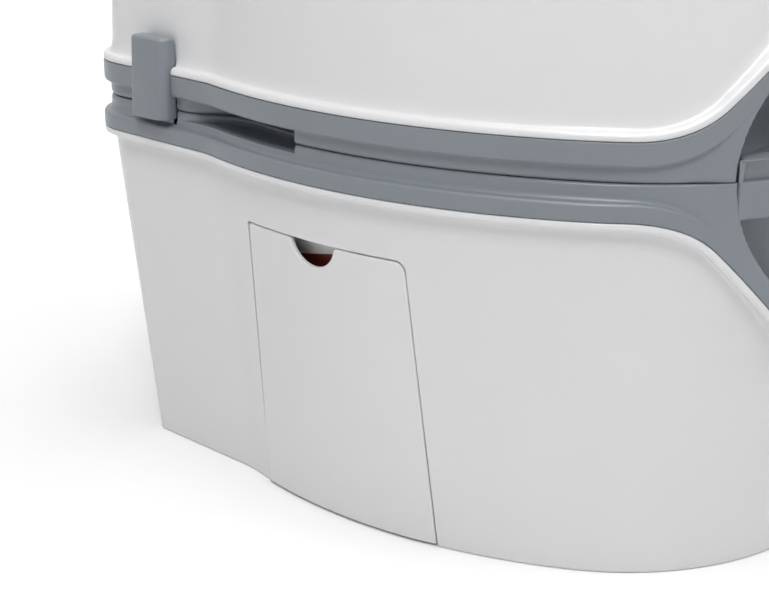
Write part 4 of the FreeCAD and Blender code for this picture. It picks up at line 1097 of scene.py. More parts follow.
@dataclass
class PaperDoor:
    """Tilting door of the paper store, with its finger notch."""

    shell: LowerShell
    door: DoorOutline
    gap: float = 1.0 * MM
    foot: float = 1.5 * MM
    thickness: float = 3.0 * MM
    edge: float = 1.4 * MM
    edge_angle: float = 50.0
    crease_set: float = 13 * MM
    crease_depth: float = 0.7 * MM
    proud: float = 0.8 * MM
    warp: float = 1.6 * MM
    columns: int = 120
    rows: int = 48

    def point(self, across: float, up: float) -> Vector:
        """Point of the door's outer face.

        Args:
            across: share of the width, from the front edge to the back edge.
            up: share of the height, from the foot to the top edge.

        Returns:
            The point.
        """
        level = self.door.top - self.gap
        front, back = self.door.front + self.gap, self.door.back - self.gap
        crest = self.door.top_edge(front + (back - front) * across, self.gap)
        height = self.foot + (crest - self.foot) * up
        wide = self.door.spread(height)
        depth = (front - wide) + (back - front + 2 * wide) * across
        from_front = across * (back - front)
        inset = self.crease_depth * clamp(1 - from_front / self.crease_set, 0.0, 1.0)
        inset -= self.proud * (1 - across ** 2) + self.warp * across ** 3 * (1 - height / level) ** 2
        return self.shell.on_flank(depth, height, inset)

    def build(self) -> Mesh:
        """Lay the face out on the flank, thicken it inwards and soften its edges."""
        points = [self.point(column / self.columns, row / self.rows)
                  for column in range(self.columns + 1) for row in range(self.rows + 1)]
        step = self.rows + 1
        faces = [(c * step + r, c * step + r + 1, (c + 1) * step + r + 1, (c + 1) * step + r)
                 for c in range(self.columns) for r in range(self.rows)]
        door = Bench.drawn("paper_store_door", points, [], faces)
        Bench.thicken(door, self.thickness)
        Bench.soften(door, self.edge, 4, self.edge_angle)
        return present(Bench.smooth(door), "paper_door", WHITE, "paper_door")


@dataclass
class PaperBin:
    """Bin of the paper store, with the rim across its mouth that shows through the finger notch; both get a
    dark red-brown painted shade that stands in for the warm shadow inside the store.
    """

    shell: LowerShell
    rim_inset: float = 11.5 * MM
    rim_thickness: float = 1.6 * MM
    rim_height: float = 16 * MM
    overlap: float = 2 * MM
    half_width: float = 50 * MM
    steps: int = 24

    def build(self) -> Mesh:
        """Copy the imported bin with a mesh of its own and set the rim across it."""
        store = Bench.copied("paper_bin", "paper_store_bin")
        pairs = []
        for step in range(self.steps + 1):
            depth = self.shell.door.notch_y + self.half_width * (1 - 2 * step / self.steps)
            high = self.shell.head_edge(depth) + self.overlap
            pairs.append((self.shell.on_flank(depth, high, self.rim_inset),
                          self.shell.on_flank(depth, high - self.rim_height, self.rim_inset)))
        rim = Bench.strip("bin_rim", pairs, self.rim_thickness)
        store = Bench.joined([store, rim], "paper_store_bin")
        # The bin and its rim carry the dark red-brown painted shade
        return present(Bench.smooth(store), "body", BIN_PAINTED_SHADE, "paper_bin")


@dataclass(frozen=True)
class SideFittings:
    """Places on the flanks where latches sit and hands grip."""

    flank_from: float = 100 * MM
    latch_y: float = 146 * MM
    latch_half: float = 15.6 * MM
    hook_half: float = 9.8 * MM
    slot_inset: float = 7 * MM
    grip_front: float = 15 * MM
    grip_back: float = 126 * MM
    grip_curve: float = 44 * MM
    grip_depth: float = 26 * MM

    def marks(self) -> list[float]:
        """Depths on the flanks where a recess starts or ends."""
        return [self.latch_y - self.latch_half, self.latch_y + self.latch_half,
                self.latch_y - self.hook_half, self.latch_y + self.hook_half, self.grip_front]

    def at_latch(self, place: Station) -> bool:
        """Whether a place lies behind a latch."""
        return abs(place.x) > self.flank_from and abs(place.y - self.latch_y) < self.latch_half

    def at_hook(self, place: Station) -> bool:
        """Whether a place lies behind a latch's hook."""
        return abs(place.x) > self.flank_from and abs(place.y - self.latch_y) < self.hook_half

    def grip_inset(self, place: Station, neck: float) -> float:
        """Depth of the neck's wall: it curves into the finger hollow in front of the latch.

        Args:
            place: place on the outline.
            neck: inset of the neck outside the hollow.

        Returns:
            The wall's inset there.
        """
        if abs(place.x) < self.flank_from or not self.grip_front < place.y < self.grip_back:
            return neck
        return neck + (self.grip_depth - neck) * ease((self.grip_back - place.y) / self.grip_curve)


@dataclass
class GreyTrim:
    """What both grey trims share: they meet at the split and their ledges run out beside the scoop."""

    outline: PlanOutline
    levels: Levels
    sweep: FrontSweep
    scoop: Scoop
    fittings: SideFittings
    neck_inset: float = 5 * MM
    apron_inset: float = 0.02 * MM
    ridge_end: float = 96 * MM
    ridge_fade: float = 20 * MM
    wall: float = 3 * MM
    edge: float = 2.4 * MM
    nose_edge: float = 0.01 * MM
    split_round: float = 2.4 * MM
    nose_round: float = 0.4 * MM
    rim: float = 0.5 * MM
    parting: float = 0.12 * MM
    neck_steps: int = 44

    def ridge_share(self, place: Station) -> float:
        """How much of the ledge is left at a place; it runs out beside the scoop."""
        neck = self.outline.neck_inset(place, self.neck_inset, self.apron_inset)
        share = (neck - self.apron_inset) / (self.neck_inset - self.apron_inset)
        if place.y >= 0:
            return share
        return share * ease((abs(place.x) - self.ridge_end) / self.ridge_fade)

    def sizes(self, share: float) -> tuple[float, float, float]:
        """Neck inset, ledge rounding and split rounding, by how much of the ledge is left."""
        return (self.apron_inset + (self.neck_inset - self.apron_inset) * share,
                self.nose_edge + (self.edge - self.nose_edge) * share,
                self.nose_round + (self.split_round - self.nose_round) * share)

    def ring(self, place: Station) -> list[Vector]:
        """Closed ring of points at a place; each trim has its own."""
        raise NotImplementedError

    def skinned(self, name: str, *nodes: str) -> Mesh:
        """Skin the trim through its rings and dress it."""
        rings = [self.ring(place) for place in self.outline.stations(self.fittings.marks())]
        return present(Bench.smooth(Bench.skin(name, rings)), "body", GREY, *nodes)


@dataclass
class TankDeck(GreyTrim):
    """Grey top of the lower unit: flange, neck, finger hollows and the lower half of the scoop."""

    flange_height: float = 10 * MM
    cove_rise: float = 4.5 * MM
    least_cove: Pair = (0.01 * MM, 0.02 * MM)
    pocket_skin: float = 4.2 * MM
    pocket_inset: float = 13.2 * MM
    pocket_floor: float = 9 * MM
    tongue_gap: float = 0.4 * MM
    tongue_rise: float = 4.5 * MM
    tongue_wall: float = 1.2 * MM
    band_steps: int = 6
    flat_steps: int = 4
    cove_steps: int = 6

    def section(self, place: Station) -> list[Pair]:
        """Outer section as (inset, height) points, from the lower edge up to the split."""
        side = self.sweep.level(place)
        base = side + self.parting
        tall = self.sweep.spread(place)
        ledge = side + self.flange_height
        share = self.ridge_share(place)
        neck, edge, turn = self.sizes(share)
        rows = quarter((self.rim, base + self.rim * tall), (self.rim, self.rim * tall), 270, 180, 3)
        rows += between((0.0, base + self.rim * tall), (0.0, ledge - edge), self.band_steps)
        rows += quarter((edge, ledge - edge), (edge, edge), 180, 90, 6)
        cove = (max(neck - edge, self.least_cove[0]), self.least_cove[1] + self.cove_rise * share)
        bend = quarter((neck - cove[0], ledge + cove[1]), cove, 270, 360, self.cove_steps)
        if self.fittings.at_latch(place):
            deep, skin, floor = self.pocket_inset, self.pocket_skin, ledge - self.pocket_floor
            crest = ledge + cove[1] * (1 - math.sqrt(1 - ((skin - edge) / cove[0]) ** 2))
            rows += [(min(inset, skin), min(height, crest)) for inset, height in bend]
            level = between((skin, floor), (deep, floor), self.flat_steps - 1)
            rows += [(skin, floor), *level, (deep, floor)]
        else:
            deep = self.fittings.grip_inset(place, neck)
            foot = (deep, bend[-1][1])
            rows += [*bend, *between(bend[-1], foot, self.flat_steps), foot]
        top = self.levels.split - self.parting
        rows += between(rows[-1], (deep, top - turn), self.neck_steps)
        rows += quarter((deep + turn, top - turn), (turn, turn), 180, 90, 4)
        return rows

    def ring(self, place: Station) -> list[Vector]:
        """Closed ring at a place: the outer section, a tongue that covers the split, the inner section."""
        rows = self.section(place)
        base, (edge, top) = rows[0][1], rows[-1]
        near = edge + self.wall + self.tongue_gap
        far, crest = near + self.tongue_wall, top + self.tongue_rise
        deeper = self.wall + self.tongue_gap
        outer = [self.scoop.press(place.inwards(*row)) for row in rows]
        tongue = [self.scoop.press(place.inwards(near, height), deeper) for height in (top, crest)]
        tongue += [self.scoop.press(place.inwards(far, height), deeper + self.tongue_wall)
                   for height in (crest, top - self.wall)]
        behind = [(self.back(place, inset), max(height - self.wall, base))
                  for inset, height in reversed(rows)]
        inner = [self.scoop.press(place.inwards(*row), self.wall) for row in behind]
        return outer + tongue + inner

    def back(self, place: Station, inset: float) -> float:
        """Inset of the inner face behind an outer one; the skin before a latch pocket is thinner."""
        if self.fittings.at_latch(place) and inset <= self.pocket_skin:
            return min(inset + self.wall, self.pocket_skin - self.tongue_gap)
        return inset + self.wall

    def build(self) -> Mesh:
        """Skin the deck's trim."""
        return self.skinned("tank_deck_trim", "tank_deck", "deck_scoop", "deck_cups")


@dataclass
class BaseFrame(GreyTrim):
    """Grey base of the upper unit: neck, flange, finger hollows and the upper half of the scoop."""

    apron_inset: float = 1.02 * MM
    ridge_end: float = 84 * MM
    ridge_fade: float = 24 * MM
    edge: float = 2.2 * MM
    nose_edge: float = 0.05 * MM
    band_height: float = 13 * MM
    flange_inset: float = 1 * MM
    fillet: float = 1.4 * MM
    keeper_inset: float = 17 * MM
    keeper_low: float = 2 * MM
    keeper_high: float = 9 * MM
    band_steps: int = 8

    def section(self, place: Station) -> list[Pair]:
        """Outer section as (inset, height) points, from the split up to the white lip."""
        side = self.sweep.level(place)
        top = side - self.parting
        tall = self.sweep.spread(place)
        ledge = side - self.band_height
        share = self.ridge_share(place)
        neck, edge, turn = self.sizes(share)
        fillet = self.nose_edge + (self.fillet - self.nose_edge) * share
        deep = self.fittings.grip_inset(place, neck)
        base = self.levels.split + self.parting
        flange = self.flange_inset
        rows = quarter((deep + turn, base + turn), (turn, turn), 270, 180, 4)
        rows += between((deep, base + turn), (deep, ledge - fillet), self.neck_steps)
        rows += quarter((deep - fillet, ledge - fillet), (fillet, fillet), 0, 90, 3)
        rows += quarter((flange + edge, ledge + edge), (edge, edge), 270, 180, 6)
        rows += between((flange, ledge + edge), (flange, top - self.rim * tall), self.band_steps)
        rows += quarter((flange + self.rim, top - self.rim * tall), (self.rim, self.rim * tall), 180, 90, 3)
        if self.fittings.at_latch(place):
            rows = [(max(inset, self.fittings.slot_inset), height) for inset, height in rows]
        if self.fittings.at_hook(place):
            low, high = ledge + self.keeper_low, ledge + self.keeper_high
            rows = [(self.keeper_inset if low < height < high else inset, height) for inset, height in rows]
        return rows

    def ring(self, place: Station) -> list[Vector]:
        """Closed ring at a place: the outer section and, further in and higher, the inner one."""
        rows = self.section(place)
        top = rows[-1][1]
        outer = [self.scoop.press(place.inwards(*row)) for row in rows]
        inner = [self.scoop.press(place.inwards(inset + self.wall, min(height + self.wall, top)), self.wall)
                 for inset, height in reversed(rows)]
        return outer + inner

    def build(self) -> Mesh:
        """Skin the frame's trim."""
        return self.skinned("base_frame_trim", "base_frame", "frame_scoop", "frame_cups")


@dataclass(frozen=True)
class Oval:
    """Oval with full-round ends, as the bowl's mouth and sections have."""

    half_width: float
    half_length: float
    centre_y: float = 0.0
    round_share: float = 0.98

    def reach(self, aim: Vector) -> float:
        """Distance from the middle to the oval along a direction."""
        across, along = abs(aim.x), abs(aim.y)
        radius = self.round_share * min(self.half_width, self.half_length)
        hub = Vector((self.half_width - radius, self.half_length - radius))
        if across > 0 and along * self.half_width / across <= hub.y:
            return self.half_width / across
        if along > 0 and across * self.half_length / along <= hub.x:
            return self.half_length / along
        ahead = across * hub.x + along * hub.y
        return ahead + math.sqrt(ahead ** 2 - hub.length_squared + radius ** 2)

    def toward(self, spot: Vector, height: float) -> Vector:
        """Point of the oval in the direction of a spot, at a height."""
        aim = Vector((spot.x, spot.y - self.centre_y)).normalized()
        far = aim * self.reach(aim)
        return Vector((far.x, far.y + self.centre_y, height))


@dataclass
class FlushShell:
    """White upper tank: flared lip, swelling wall, round shoulder and a top open for the bowl."""

    outline: PlanOutline
    levels: Levels
    sweep: FrontSweep
    fittings: SideFittings
    mouth: Oval
    lip_inset: float = 1 * MM
    lip_height: float = 4.8 * MM
    lip_round: float = 1.3 * MM
    brow_round: float = 3.2 * MM
    flare_rise: float = 12 * MM
    wall: float = 3 * MM
    parting: float = 0.15 * MM
    wall_steps: int = 30
    row_bias: float = 1.7
    top_steps: int = 6
    hole_radius: float = 16.3 * MM
    hole_reach: float = 20 * MM
    hole_spots: tuple[Pair, Pair] = ((-129 * MM, 162 * MM), (129 * MM, 162 * MM))
    # Inset of the wall at heights below the tank's top
    profile: tuple[Pair, ...] = ((156 * MM, 7.4 * MM), (138 * MM, 7.2 * MM), (120 * MM, 8.0 * MM),
                                 (100 * MM, 9.9 * MM), (78 * MM, 12.3 * MM), (56 * MM, 14.2 * MM),
                                 (38 * MM, 16.0 * MM), (24 * MM, 18.4 * MM), (14 * MM, 21.4 * MM),
                                 (7 * MM, 25.0 * MM), (2.5 * MM, 28.6 * MM), (0.0, 32 * MM))

    def wall_at(self, height: float) -> float:
        """Inset of the wall at a height, eased through the profile."""
        drop = clamp(self.levels.tank_top - height, 0.0, self.profile[0][0])
        spots = self.profile
        for index in range(len(spots) - 1):
            if drop >= spots[index + 1][0]:
                break
        before = spots[max(index - 1, 0)]
        here, ahead = spots[index], spots[index + 1]
        after = spots[min(index + 2, len(spots) - 1)]
        span = here[0] - ahead[0]
        share = (here[0] - drop) / span
        lean_here = (ahead[1] - before[1]) / (before[0] - ahead[0]) * span
        lean_ahead = (after[1] - here[1]) / (here[0] - after[0]) * span
        return (here[1] + (ahead[1] - here[1]) * ease(share) + lean_here * share * (1 - share) ** 2
                - lean_ahead * share ** 2 * (1 - share))

    def section(self, place: Station) -> list[Pair]:
        """Outer section as (inset, height) points, from the lip up to the shoulder."""
        base = self.sweep.level(place) + self.parting
        tall = self.sweep.spread(place)
        side, radius = self.lip_inset, self.lip_round
        lip_top = base + self.lip_height * tall
        meet = lip_top + self.flare_rise
        inner = self.wall_at(meet)
        rows = quarter((side + radius, base + radius * tall), (radius, radius * tall), 270, 180, 4)
        brow = self.brow_round
        rows += quarter((side + brow, lip_top - brow * tall), (brow, brow * tall), 180, 90, 6)
        hollow = (inner - side - brow, self.flare_rise)
        rows += quarter((side + brow, meet), hollow, 270, 360, 8)[1:]
        top = self.levels.tank_top
        for step in range(1, self.wall_steps + 1):
            share = step / self.wall_steps
            height = top - (top - meet) * (1 - share) ** self.row_bias
            rows.append((self.wall_at(height), height))
        if self.fittings.at_latch(place):
            rows = [(max(inset, self.fittings.slot_inset), height) for inset, height in rows]
        return rows

    def ring(self, place: Station) -> list[Vector]:
        """Closed ring at a place: outside, top, mouth edge and inside."""
        rows = self.section(place)
        outer = [place.inwards(*row) for row in rows]
        top = self.levels.tank_top
        edge = self.mouth.toward(outer[-1], top)
        shares = [step / self.top_steps for step in range(1, self.top_steps + 1)]
        lid = [outer[-1].lerp(edge, share) for share in shares]
        drop = Vector((0, 0, -self.wall))
        under = [point + drop for point in reversed(lid)]
        inner = [place.inwards(inset + self.wall, min(height, top - self.wall))
                 for inset, height in reversed(rows)]
        return outer + lid + under + inner

    def build(self) -> Mesh:
        """Skin the tank and bore the holes for pump and filler."""
        rings = [self.ring(place) for place in self.outline.stations(self.fittings.marks())]
        tank = Bench.skin("flush_tank_shell", rings)
        for spot in self.hole_spots:
            foot = Vector((*spot, self.levels.tank_top - self.hole_reach))
            Bench.carve(tank, Bench.drum("bore", self.hole_radius, 2 * self.hole_reach, foot, Axis.Z))
        return present(Bench.smooth(tank), "body", WHITE, "flush_shell")


@dataclass
class SideLatch:
    """Tab at the side that hooks the upper unit to the lower one."""

    side: Side
    node: str
    front_edge: float = 7.5 * MM
    rear_edge: float = 2.5 * MM
    crown: float = 2.4 * MM
    back_edge: float = 1.2 * MM
    taper: float = 1.5 * MM
    foot_rise: float = 12.2 * MM
    axis_set: float = 11 * MM
    barrel_radius: float = 2.4 * MM
    hook_rise: float = 29 * MM
    hook_height: float = 5 * MM
    hook_half_width: float = 9 * MM
    hook_edge: float = 1 * MM
    web_edge: float = 0.4 * MM
    thickness: float = 12.2 * MM
    end_play: float = 2.8 * MM

    def tab(self, low: Vector, high: Vector, outer: float, inner: float) -> Mesh:
        """Model the tab from a box: slimmer at the top, with a round crown and soft edges.

        Args:
            low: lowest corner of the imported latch.
            high: its highest corner.
            outer: where the tab's outer face lies across.
            inner: where its inner face lies.

        Returns:
            The tab.
        """
        foot = low.z + self.foot_rise
        first = Vector((min(outer, inner), low.y, foot))
        tab = Bench.block(self.node + "_tab", first, Vector((max(outer, inner), high.y, high.z)))
        Bench.choose_edges(tab, lambda a, b: min(a.z, b.z) > high.z - NEAR and abs(a.x - outer) < NEAR
                           and abs(b.x - outer) < NEAR)
        bpy.ops.transform.translate(value=(-self.side.value * self.taper, 0, 0))
        bpy.ops.object.mode_set(mode="OBJECT")
        slack = self.taper + NEAR
        for spot, radius in ((low.y, self.front_edge), (high.y, self.rear_edge)):
            Bench.round_edges(tab, radius, lambda a, b: abs(a.z - b.z) > NEAR and abs(a.y - spot) < NEAR
                              and max(abs(a.x - outer), abs(b.x - outer)) < slack, 8)
        Bench.round_edges(tab, self.crown, lambda a, b: min(a.z, b.z) > high.z - NEAR, 7)
        return Bench.soften(tab, self.back_edge, 3)

    def build(self) -> Mesh:
        """Hang barrel, web and hook on the tab."""
        low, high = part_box(self.node)
        outer = low.x if self.side is Side.LEFT else high.x
        inner = outer - self.side.value * self.thickness
        tab = self.tab(low, high, outer, inner)
        axis_x = outer - self.side.value * self.axis_set
        axis_z = low.z + self.barrel_radius
        first, last = low.y + self.end_play, high.y - self.end_play
        barrel = Bench.drum("barrel", self.barrel_radius, last - first,
                            Vector((axis_x, first, axis_z)), Axis.Y)
        web_low = Vector((min(axis_x, inner), first, axis_z))
        web_high = Vector((max(axis_x, inner), last, low.z + self.foot_rise + self.crown))
        web = Bench.soften(Bench.block("web", web_low, web_high), self.web_edge)
        tip = low.x if self.side is Side.RIGHT else high.x
        middle = (low.y + high.y) / 2
        hook_low = Vector((min(tip, inner), middle - self.hook_half_width, low.z + self.hook_rise))
        hook_high = Vector((max(tip, inner), middle + self.hook_half_width,
                            low.z + self.hook_rise + self.hook_height))
        hook = Bench.soften(Bench.block("hook", hook_low, hook_high), self.hook_edge)
        latch = Bench.joined([tab, barrel, web, hook], self.node + "_tab")
        return present(Bench.smooth(latch), self.node, GREY, self.node)


@dataclass
class PullHandle:
    """Bar in the front scoop that draws the valve blade out; its front follows the nose."""

    outline: PlanOutline
    levels: Levels
    scoop: Scoop
    depth: float = 15 * MM
    least_depth: float = 1.2 * MM
    end_gap: float = 1.4 * MM
    front_set: float = 0.6 * MM
    back_gap: float = 0.5 * MM
    edge: float = 1.6 * MM
    crease: float = 4.0 * MM
    step: float = 0.7 * MM
    brow: float = 0.5 * MM
    edge_share: float = 0.4
    crease_share: float = 0.6
    steps: int = 64

    def section(self, height: float, depth: float, split: float) -> list[Pair]:
        """Section as (distance behind the front, height above the foot) points.

        Args:
            height: height of the bar.
            depth: depth of the bar.
            split: height of the crease above the foot.

        Returns:
            The closed section, from the foot up the front and down the back.
        """
        most = self.edge_share * depth
        edge, step, brow = (min(size, most) for size in (self.edge, self.step, self.brow))
        crease = min(self.crease, self.crease_share * depth)
        rows = quarter((edge, edge), (edge, edge), 270, 180, 5)
        rows += between(rows[-1], (0.0, split - step), 6)
        rows += quarter((step, split - step), (step, step), 180, 90, 4)
        rows += between(rows[-1], (crease, split), 2)
        rows += quarter((brow, split), (crease - brow, height - split - brow), 0, 90, 9)
        rows += quarter((brow, height - brow), (brow, brow), 180, 90, 3)
        rows += quarter((depth - edge, height - edge), (edge, edge), 90, 0, 4)
        rows += quarter((depth - edge, edge), (edge, edge), 0, -90, 4)
        return rows

    def room(self, front: Vector, low: float, high: float) -> float:
        """Depth that the scoop leaves behind a point of the bar's front, over the bar's height."""
        heights = (low, (low + high) / 2, high)
        floors = [self.scoop.press(Vector((front.x, front.y, height))).y for height in heights]
        return min(floors) - front.y - self.back_gap

    def build(self) -> Mesh:
        """Draw the bar across the scoop, flush with the apron, thinner where the scoop runs out."""
        low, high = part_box("valve_handle")
        half = self.scoop.radius - self.end_gap
        rings = []
        for step in range(self.steps + 1):
            x = -half * math.cos(math.pi * step / self.steps)
            front = Vector((x, self.outline.nose_depth(abs(x), self.front_set), low.z))
            depth = clamp(self.room(front, low.z, high.z), self.least_depth, self.depth)
            rows = self.section(high.z - low.z, depth, self.levels.split - low.z)
            rings.append([Vector((x, front.y + back, low.z + up)) for back, up in rows])
        bar = Bench.skin("pull_handle", rings, capped=True)
        return present(Bench.smooth(bar, SOFT_ANGLE), "valve", GREY, "valve_handle")


@dataclass
class InnerPlate:
    """Inner plate of a grey trim, cut back behind the scoop's wall."""

    node: str
    name: str
    scoop: Scoop
    clearance: float = 7 * MM

    def build(self) -> Mesh:
        """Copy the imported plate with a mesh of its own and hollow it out."""
        plate = Bench.copied(self.node, self.name)
        scoop, more = self.scoop, self.clearance
        bpy.ops.object.select_all(action="DESELECT")
        bpy.ops.mesh.primitive_uv_sphere_add(segments=64, ring_count=32, radius=1.0,
                                             location=(0, scoop.centre_y, scoop.level))
        bpy.context.active_object.scale = (scoop.radius + more, scoop.depth + more, scoop.rise + more)
        Bench.carve(plate, Bench.added("scoop_cutter"))
        return present(Bench.smooth(plate), "body", INNER, self.node)


@dataclass(frozen=True)
class SeatOutline:
    """Outline that seat and lid share: round in front, narrower between the rear corners."""

    half_width: float = 150 * MM
    front: float = -190 * MM
    shoulder_y: float = 95 * MM
    neck_half_width: float = 100 * MM
    neck_y: float = 145 * MM
    back: float = 165 * MM
    front_radius: float = 145 * MM
    shoulder_radius: float = 30 * MM
    corner_radius: float = 12 * MM
    arc_steps: int = 18
    pitch: float = 8 * MM

    def corners(self) -> list[tuple[float, float, float]]:
        """Corners as (x, y, radius), round the outline from the front on the right."""
        right = [(self.half_width, self.front, self.front_radius),
                 (self.half_width, self.shoulder_y, self.shoulder_radius),
                 (self.neck_half_width, self.neck_y, self.corner_radius),
                 (self.neck_half_width, self.back, self.corner_radius)]
        return right + [(-x, y, radius) for x, y, radius in reversed(right)]

    def bend(self, before: Vector, here: Vector, after: Vector, radius: float) -> list[Station]:
        """Round the corner between two sides.

        Args:
            before: corner before it.
            here: the corner.
            after: corner after it.
            radius: size of the rounding.

        Returns:
            Places from the start of the rounding to its end.
        """
        come, leave = (here - before).normalized(), (after - here).normalized()
        swing = math.atan2(come.x * leave.y - come.y * leave.x, come.dot(leave))
        hand = math.copysign(1.0, swing)
        start = here - come * radius * math.tan(abs(swing) / 2)
        centre = start + Vector((-come.y, come.x)) * radius * hand
        first = start - centre
        places = []
        for step in range(self.arc_steps + 1):
            angle = swing * step / self.arc_steps
            reach = Vector((first.x * math.cos(angle) - first.y * math.sin(angle),
                            first.x * math.sin(angle) + first.y * math.cos(angle)))
            out = reach.normalized() * hand
            places.append(Station(centre.x + reach.x, centre.y + reach.y, out.x, out.y))
        return places

    def stations(self) -> list[Station]:
        """Places all round the outline, with straight stretches divided too."""
        corners = self.corners()
        spots = [Vector(corner[:2]) for corner in corners]
        count = len(corners)
        bends = [self.bend(spots[k - 1], spots[k], spots[(k + 1) % count], corners[k][2])
                 for k in range(count)]
        places = []
        for index, bend in enumerate(bends):
            places += bend
            end, start = bend[-1], bends[(index + 1) % count][0]
            parts = int(math.hypot(start.x - end.x, start.y - end.y) / self.pitch)
            for step in range(1, parts):
                share = step / parts
                places.append(Station(end.x + (start.x - end.x) * share, end.y + (start.y - end.y) * share,
                                      end.out_x, end.out_y))
        return places


@dataclass(frozen=True)
class HingeArms:
    """Pair of plates with eyes that carry seat or lid on the hinge pins."""

    hub_y: float
    hub_z: float
    width: float = 7 * MM
    eye_radius: float = 6 * MM
    edge: float = 0.9 * MM

    def build(self, near_x: float, corners: Sequence[Pair]) -> list[Mesh]:
        """Model both arms.

        Args:
            near_x: distance of an arm's inner side from the middle plane.
            corners: outline of the plate as (y, z) points.

        Returns:
            Plates and eyes, still separate.
        """
        pieces = []
        for side in Side:
            start = near_x if side is Side.RIGHT else -near_x - self.width
            outline = [Vector((start, y, z)) for y, z in corners]
            plate = Bench.plate("hinge_arm", outline, Vector((self.width, 0, 0)))
            eye = Bench.drum("hinge_eye", self.eye_radius, self.width,
                             Vector((start, self.hub_y, self.hub_z)), Axis.X)
            pieces += [Bench.soften(plate, self.edge), Bench.soften(eye, self.edge)]
        return pieces


@dataclass
class SeatRing:
    """Seat ring: crowned top, rolled edges and its hinge arms."""

    outline: SeatOutline
    opening: Oval
    arms: HingeArms
    thickness: float = 14 * MM
    outer_roll: float = 6.5 * MM
    inner_roll: float = 5 * MM
    foot_roll: float = 2.5 * MM
    crown: float = 0.9 * MM
    dish: float = 1.6 * MM
    top_steps: int = 8
    toes: tuple[Pair, ...] = ((0.0, 2 * MM), (0.6 * MM, 0.6 * MM), (2 * MM, 0.0))
    arm_x: float = 54.4 * MM
    arm_lap: float = 6 * MM
    arm_step: float = 4 * MM
    arm_rise: float = 3 * MM
    arm_drop: float = 2 * MM

    def ring(self, place: Station, foot: float) -> list[Vector]:
        """Closed section of the seat at a place."""
        tall, roll, toe = self.thickness, self.outer_roll, self.foot_roll
        rows = quarter((toe, toe), (toe, toe), 270, 180, 4)
        rows += quarter((roll, tall - roll), (roll, roll), 180, 90, 8)
        outer = [place.inwards(inset, foot + height) for inset, height in rows]
        level = foot + tall - self.crown
        start = outer[-1]
        edge = self.opening.toward(start, level)
        back = (Vector((start.x, start.y, level)) - edge).normalized()
        inner_start = edge + back * self.inner_roll
        top = []
        for step in range(1, self.top_steps):
            share = step / self.top_steps
            point = start.lerp(inner_start, share)
            swell = self.crown * math.sin(math.pi * share)
            point.z = foot + tall - self.crown - self.dish * share ** 2 + swell
            top.append(point)
        outer = [Vector((p.x, p.y, min(p.z, level))) for p in outer]
        down = quarter((self.inner_roll, -self.dish - self.inner_roll),
                       (self.inner_roll, self.inner_roll), 90, 180, 6)
        inner = [edge + back * away + Vector((0, 0, height)) for away, height in down]
        toes = [edge + back * away + Vector((0, 0, foot + height - level)) for away, height in self.toes]
        return outer + top + inner + toes

    def build(self) -> Mesh:
        """Skin the ring and hang it on its arms."""
        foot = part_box("seat")[0].z
        ring = Bench.skin("seat_ring", [self.ring(place, foot) for place in self.outline.stations()])
        top = foot + self.thickness
        inner, outer = self.outline.back - self.arm_lap, self.outline.back + self.arm_step
        hub_y, hub_z, eye = self.arms.hub_y, self.arms.hub_z, self.arms.eye_radius
        corners = [(inner, foot + self.arm_rise), (hub_y, hub_z - eye), (hub_y, hub_z + eye),
                   (outer, hub_z - self.arm_drop), (outer, top - self.crown), (inner, top - self.crown)]
        seat = Bench.joined([ring, *self.arms.build(self.arm_x, corners)], "seat_ring")
        return present(Bench.smooth(seat, SOFT_ANGLE), "seat", SEAT, "seat")


@dataclass
class DomedLid:
    """Lid: drafted rim, rolled shoulder and a raised, gently domed panel."""

    outline: SeatOutline
    arms: HingeArms
    centre: Pair = (0.0, -25 * MM)
    wall: float = 3 * MM
    rim: float = 0.8 * MM
    draft: float = 2 * MM
    wall_rise: float = 12.5 * MM
    roll: Pair = (9.5 * MM, 9.1 * MM)
    dome: float = 1.9 * MM
    panel_step: float = 1.2 * MM
    panel_share: float = 0.84
    panel_slope: float = 0.035
    top_steps: int = 30
    bumper_reach: float = 0.8 * MM
    arm_x: float = 78.6 * MM
    arm_lap: float = 6 * MM
    arm_rise: float = 3 * MM
    arm_drop: float = 1 * MM

    def panel(self, share: float) -> float:
        """Height of the top above the shoulder, by the share of the way out from the centre."""
        raised = ease((self.panel_share - share) / self.panel_slope)
        return self.dome * (1 - share ** 2) + self.panel_step * raised

    def ring(self, place: Station, foot: float) -> list[Vector]:
        """Closed section of the lid from its rim to the centre and back inside."""
        rim = self.rim
        rows = quarter((rim, rim), (rim, rim), 270, 180, 3)
        rows += between((0.0, rim), (self.draft, self.wall_rise), 4)
        rows += quarter((self.draft + self.roll[0], self.wall_rise), self.roll, 180, 90, 9)
        outer = [place.inwards(inset, foot + height) for inset, height in rows]
        inner = [place.inwards(inset + self.wall, max(foot + height - self.wall, foot))
                 for inset, height in reversed(rows)]
        edge, under = outer[-1], inner[0]
        middle = Vector((*self.centre, 0.0))
        shares = [1 - step / self.top_steps for step in range(1, self.top_steps + 1)]
        top = [self._toward(middle, edge, share) for share in shares]
        below = [self._toward(middle, under, share) for share in reversed(shares)]
        return outer + top + below + inner

    def _toward(self, middle: Vector, edge: Vector, share: float) -> Vector:
        """Point of the top between the centre and the shoulder."""
        return Vector((middle.x + (edge.x - middle.x) * share, middle.y + (edge.y - middle.y) * share,
                       edge.z + self.panel(share)))

    def build(self) -> Mesh:
        """Skin the lid and hang it on its arms."""
        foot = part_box("lid_bumpers")[0].z + self.bumper_reach
        lid = Bench.skin("domed_lid", [self.ring(place, foot) for place in self.outline.stations()])
        inner = self.outline.back - self.arm_lap
        hub_y, hub_z, eye = self.arms.hub_y, self.arms.hub_z, self.arms.eye_radius
        corners = [(inner, foot + self.arm_rise), (hub_y, hub_z - eye), (hub_y, hub_z + eye),
                   (inner, hub_z + eye - self.arm_drop)]
        lid = Bench.joined([lid, *self.arms.build(self.arm_x, corners)], "domed_lid")
        return present(Bench.smooth(lid, SOFT_ANGLE), "lid", WHITE, "lid")


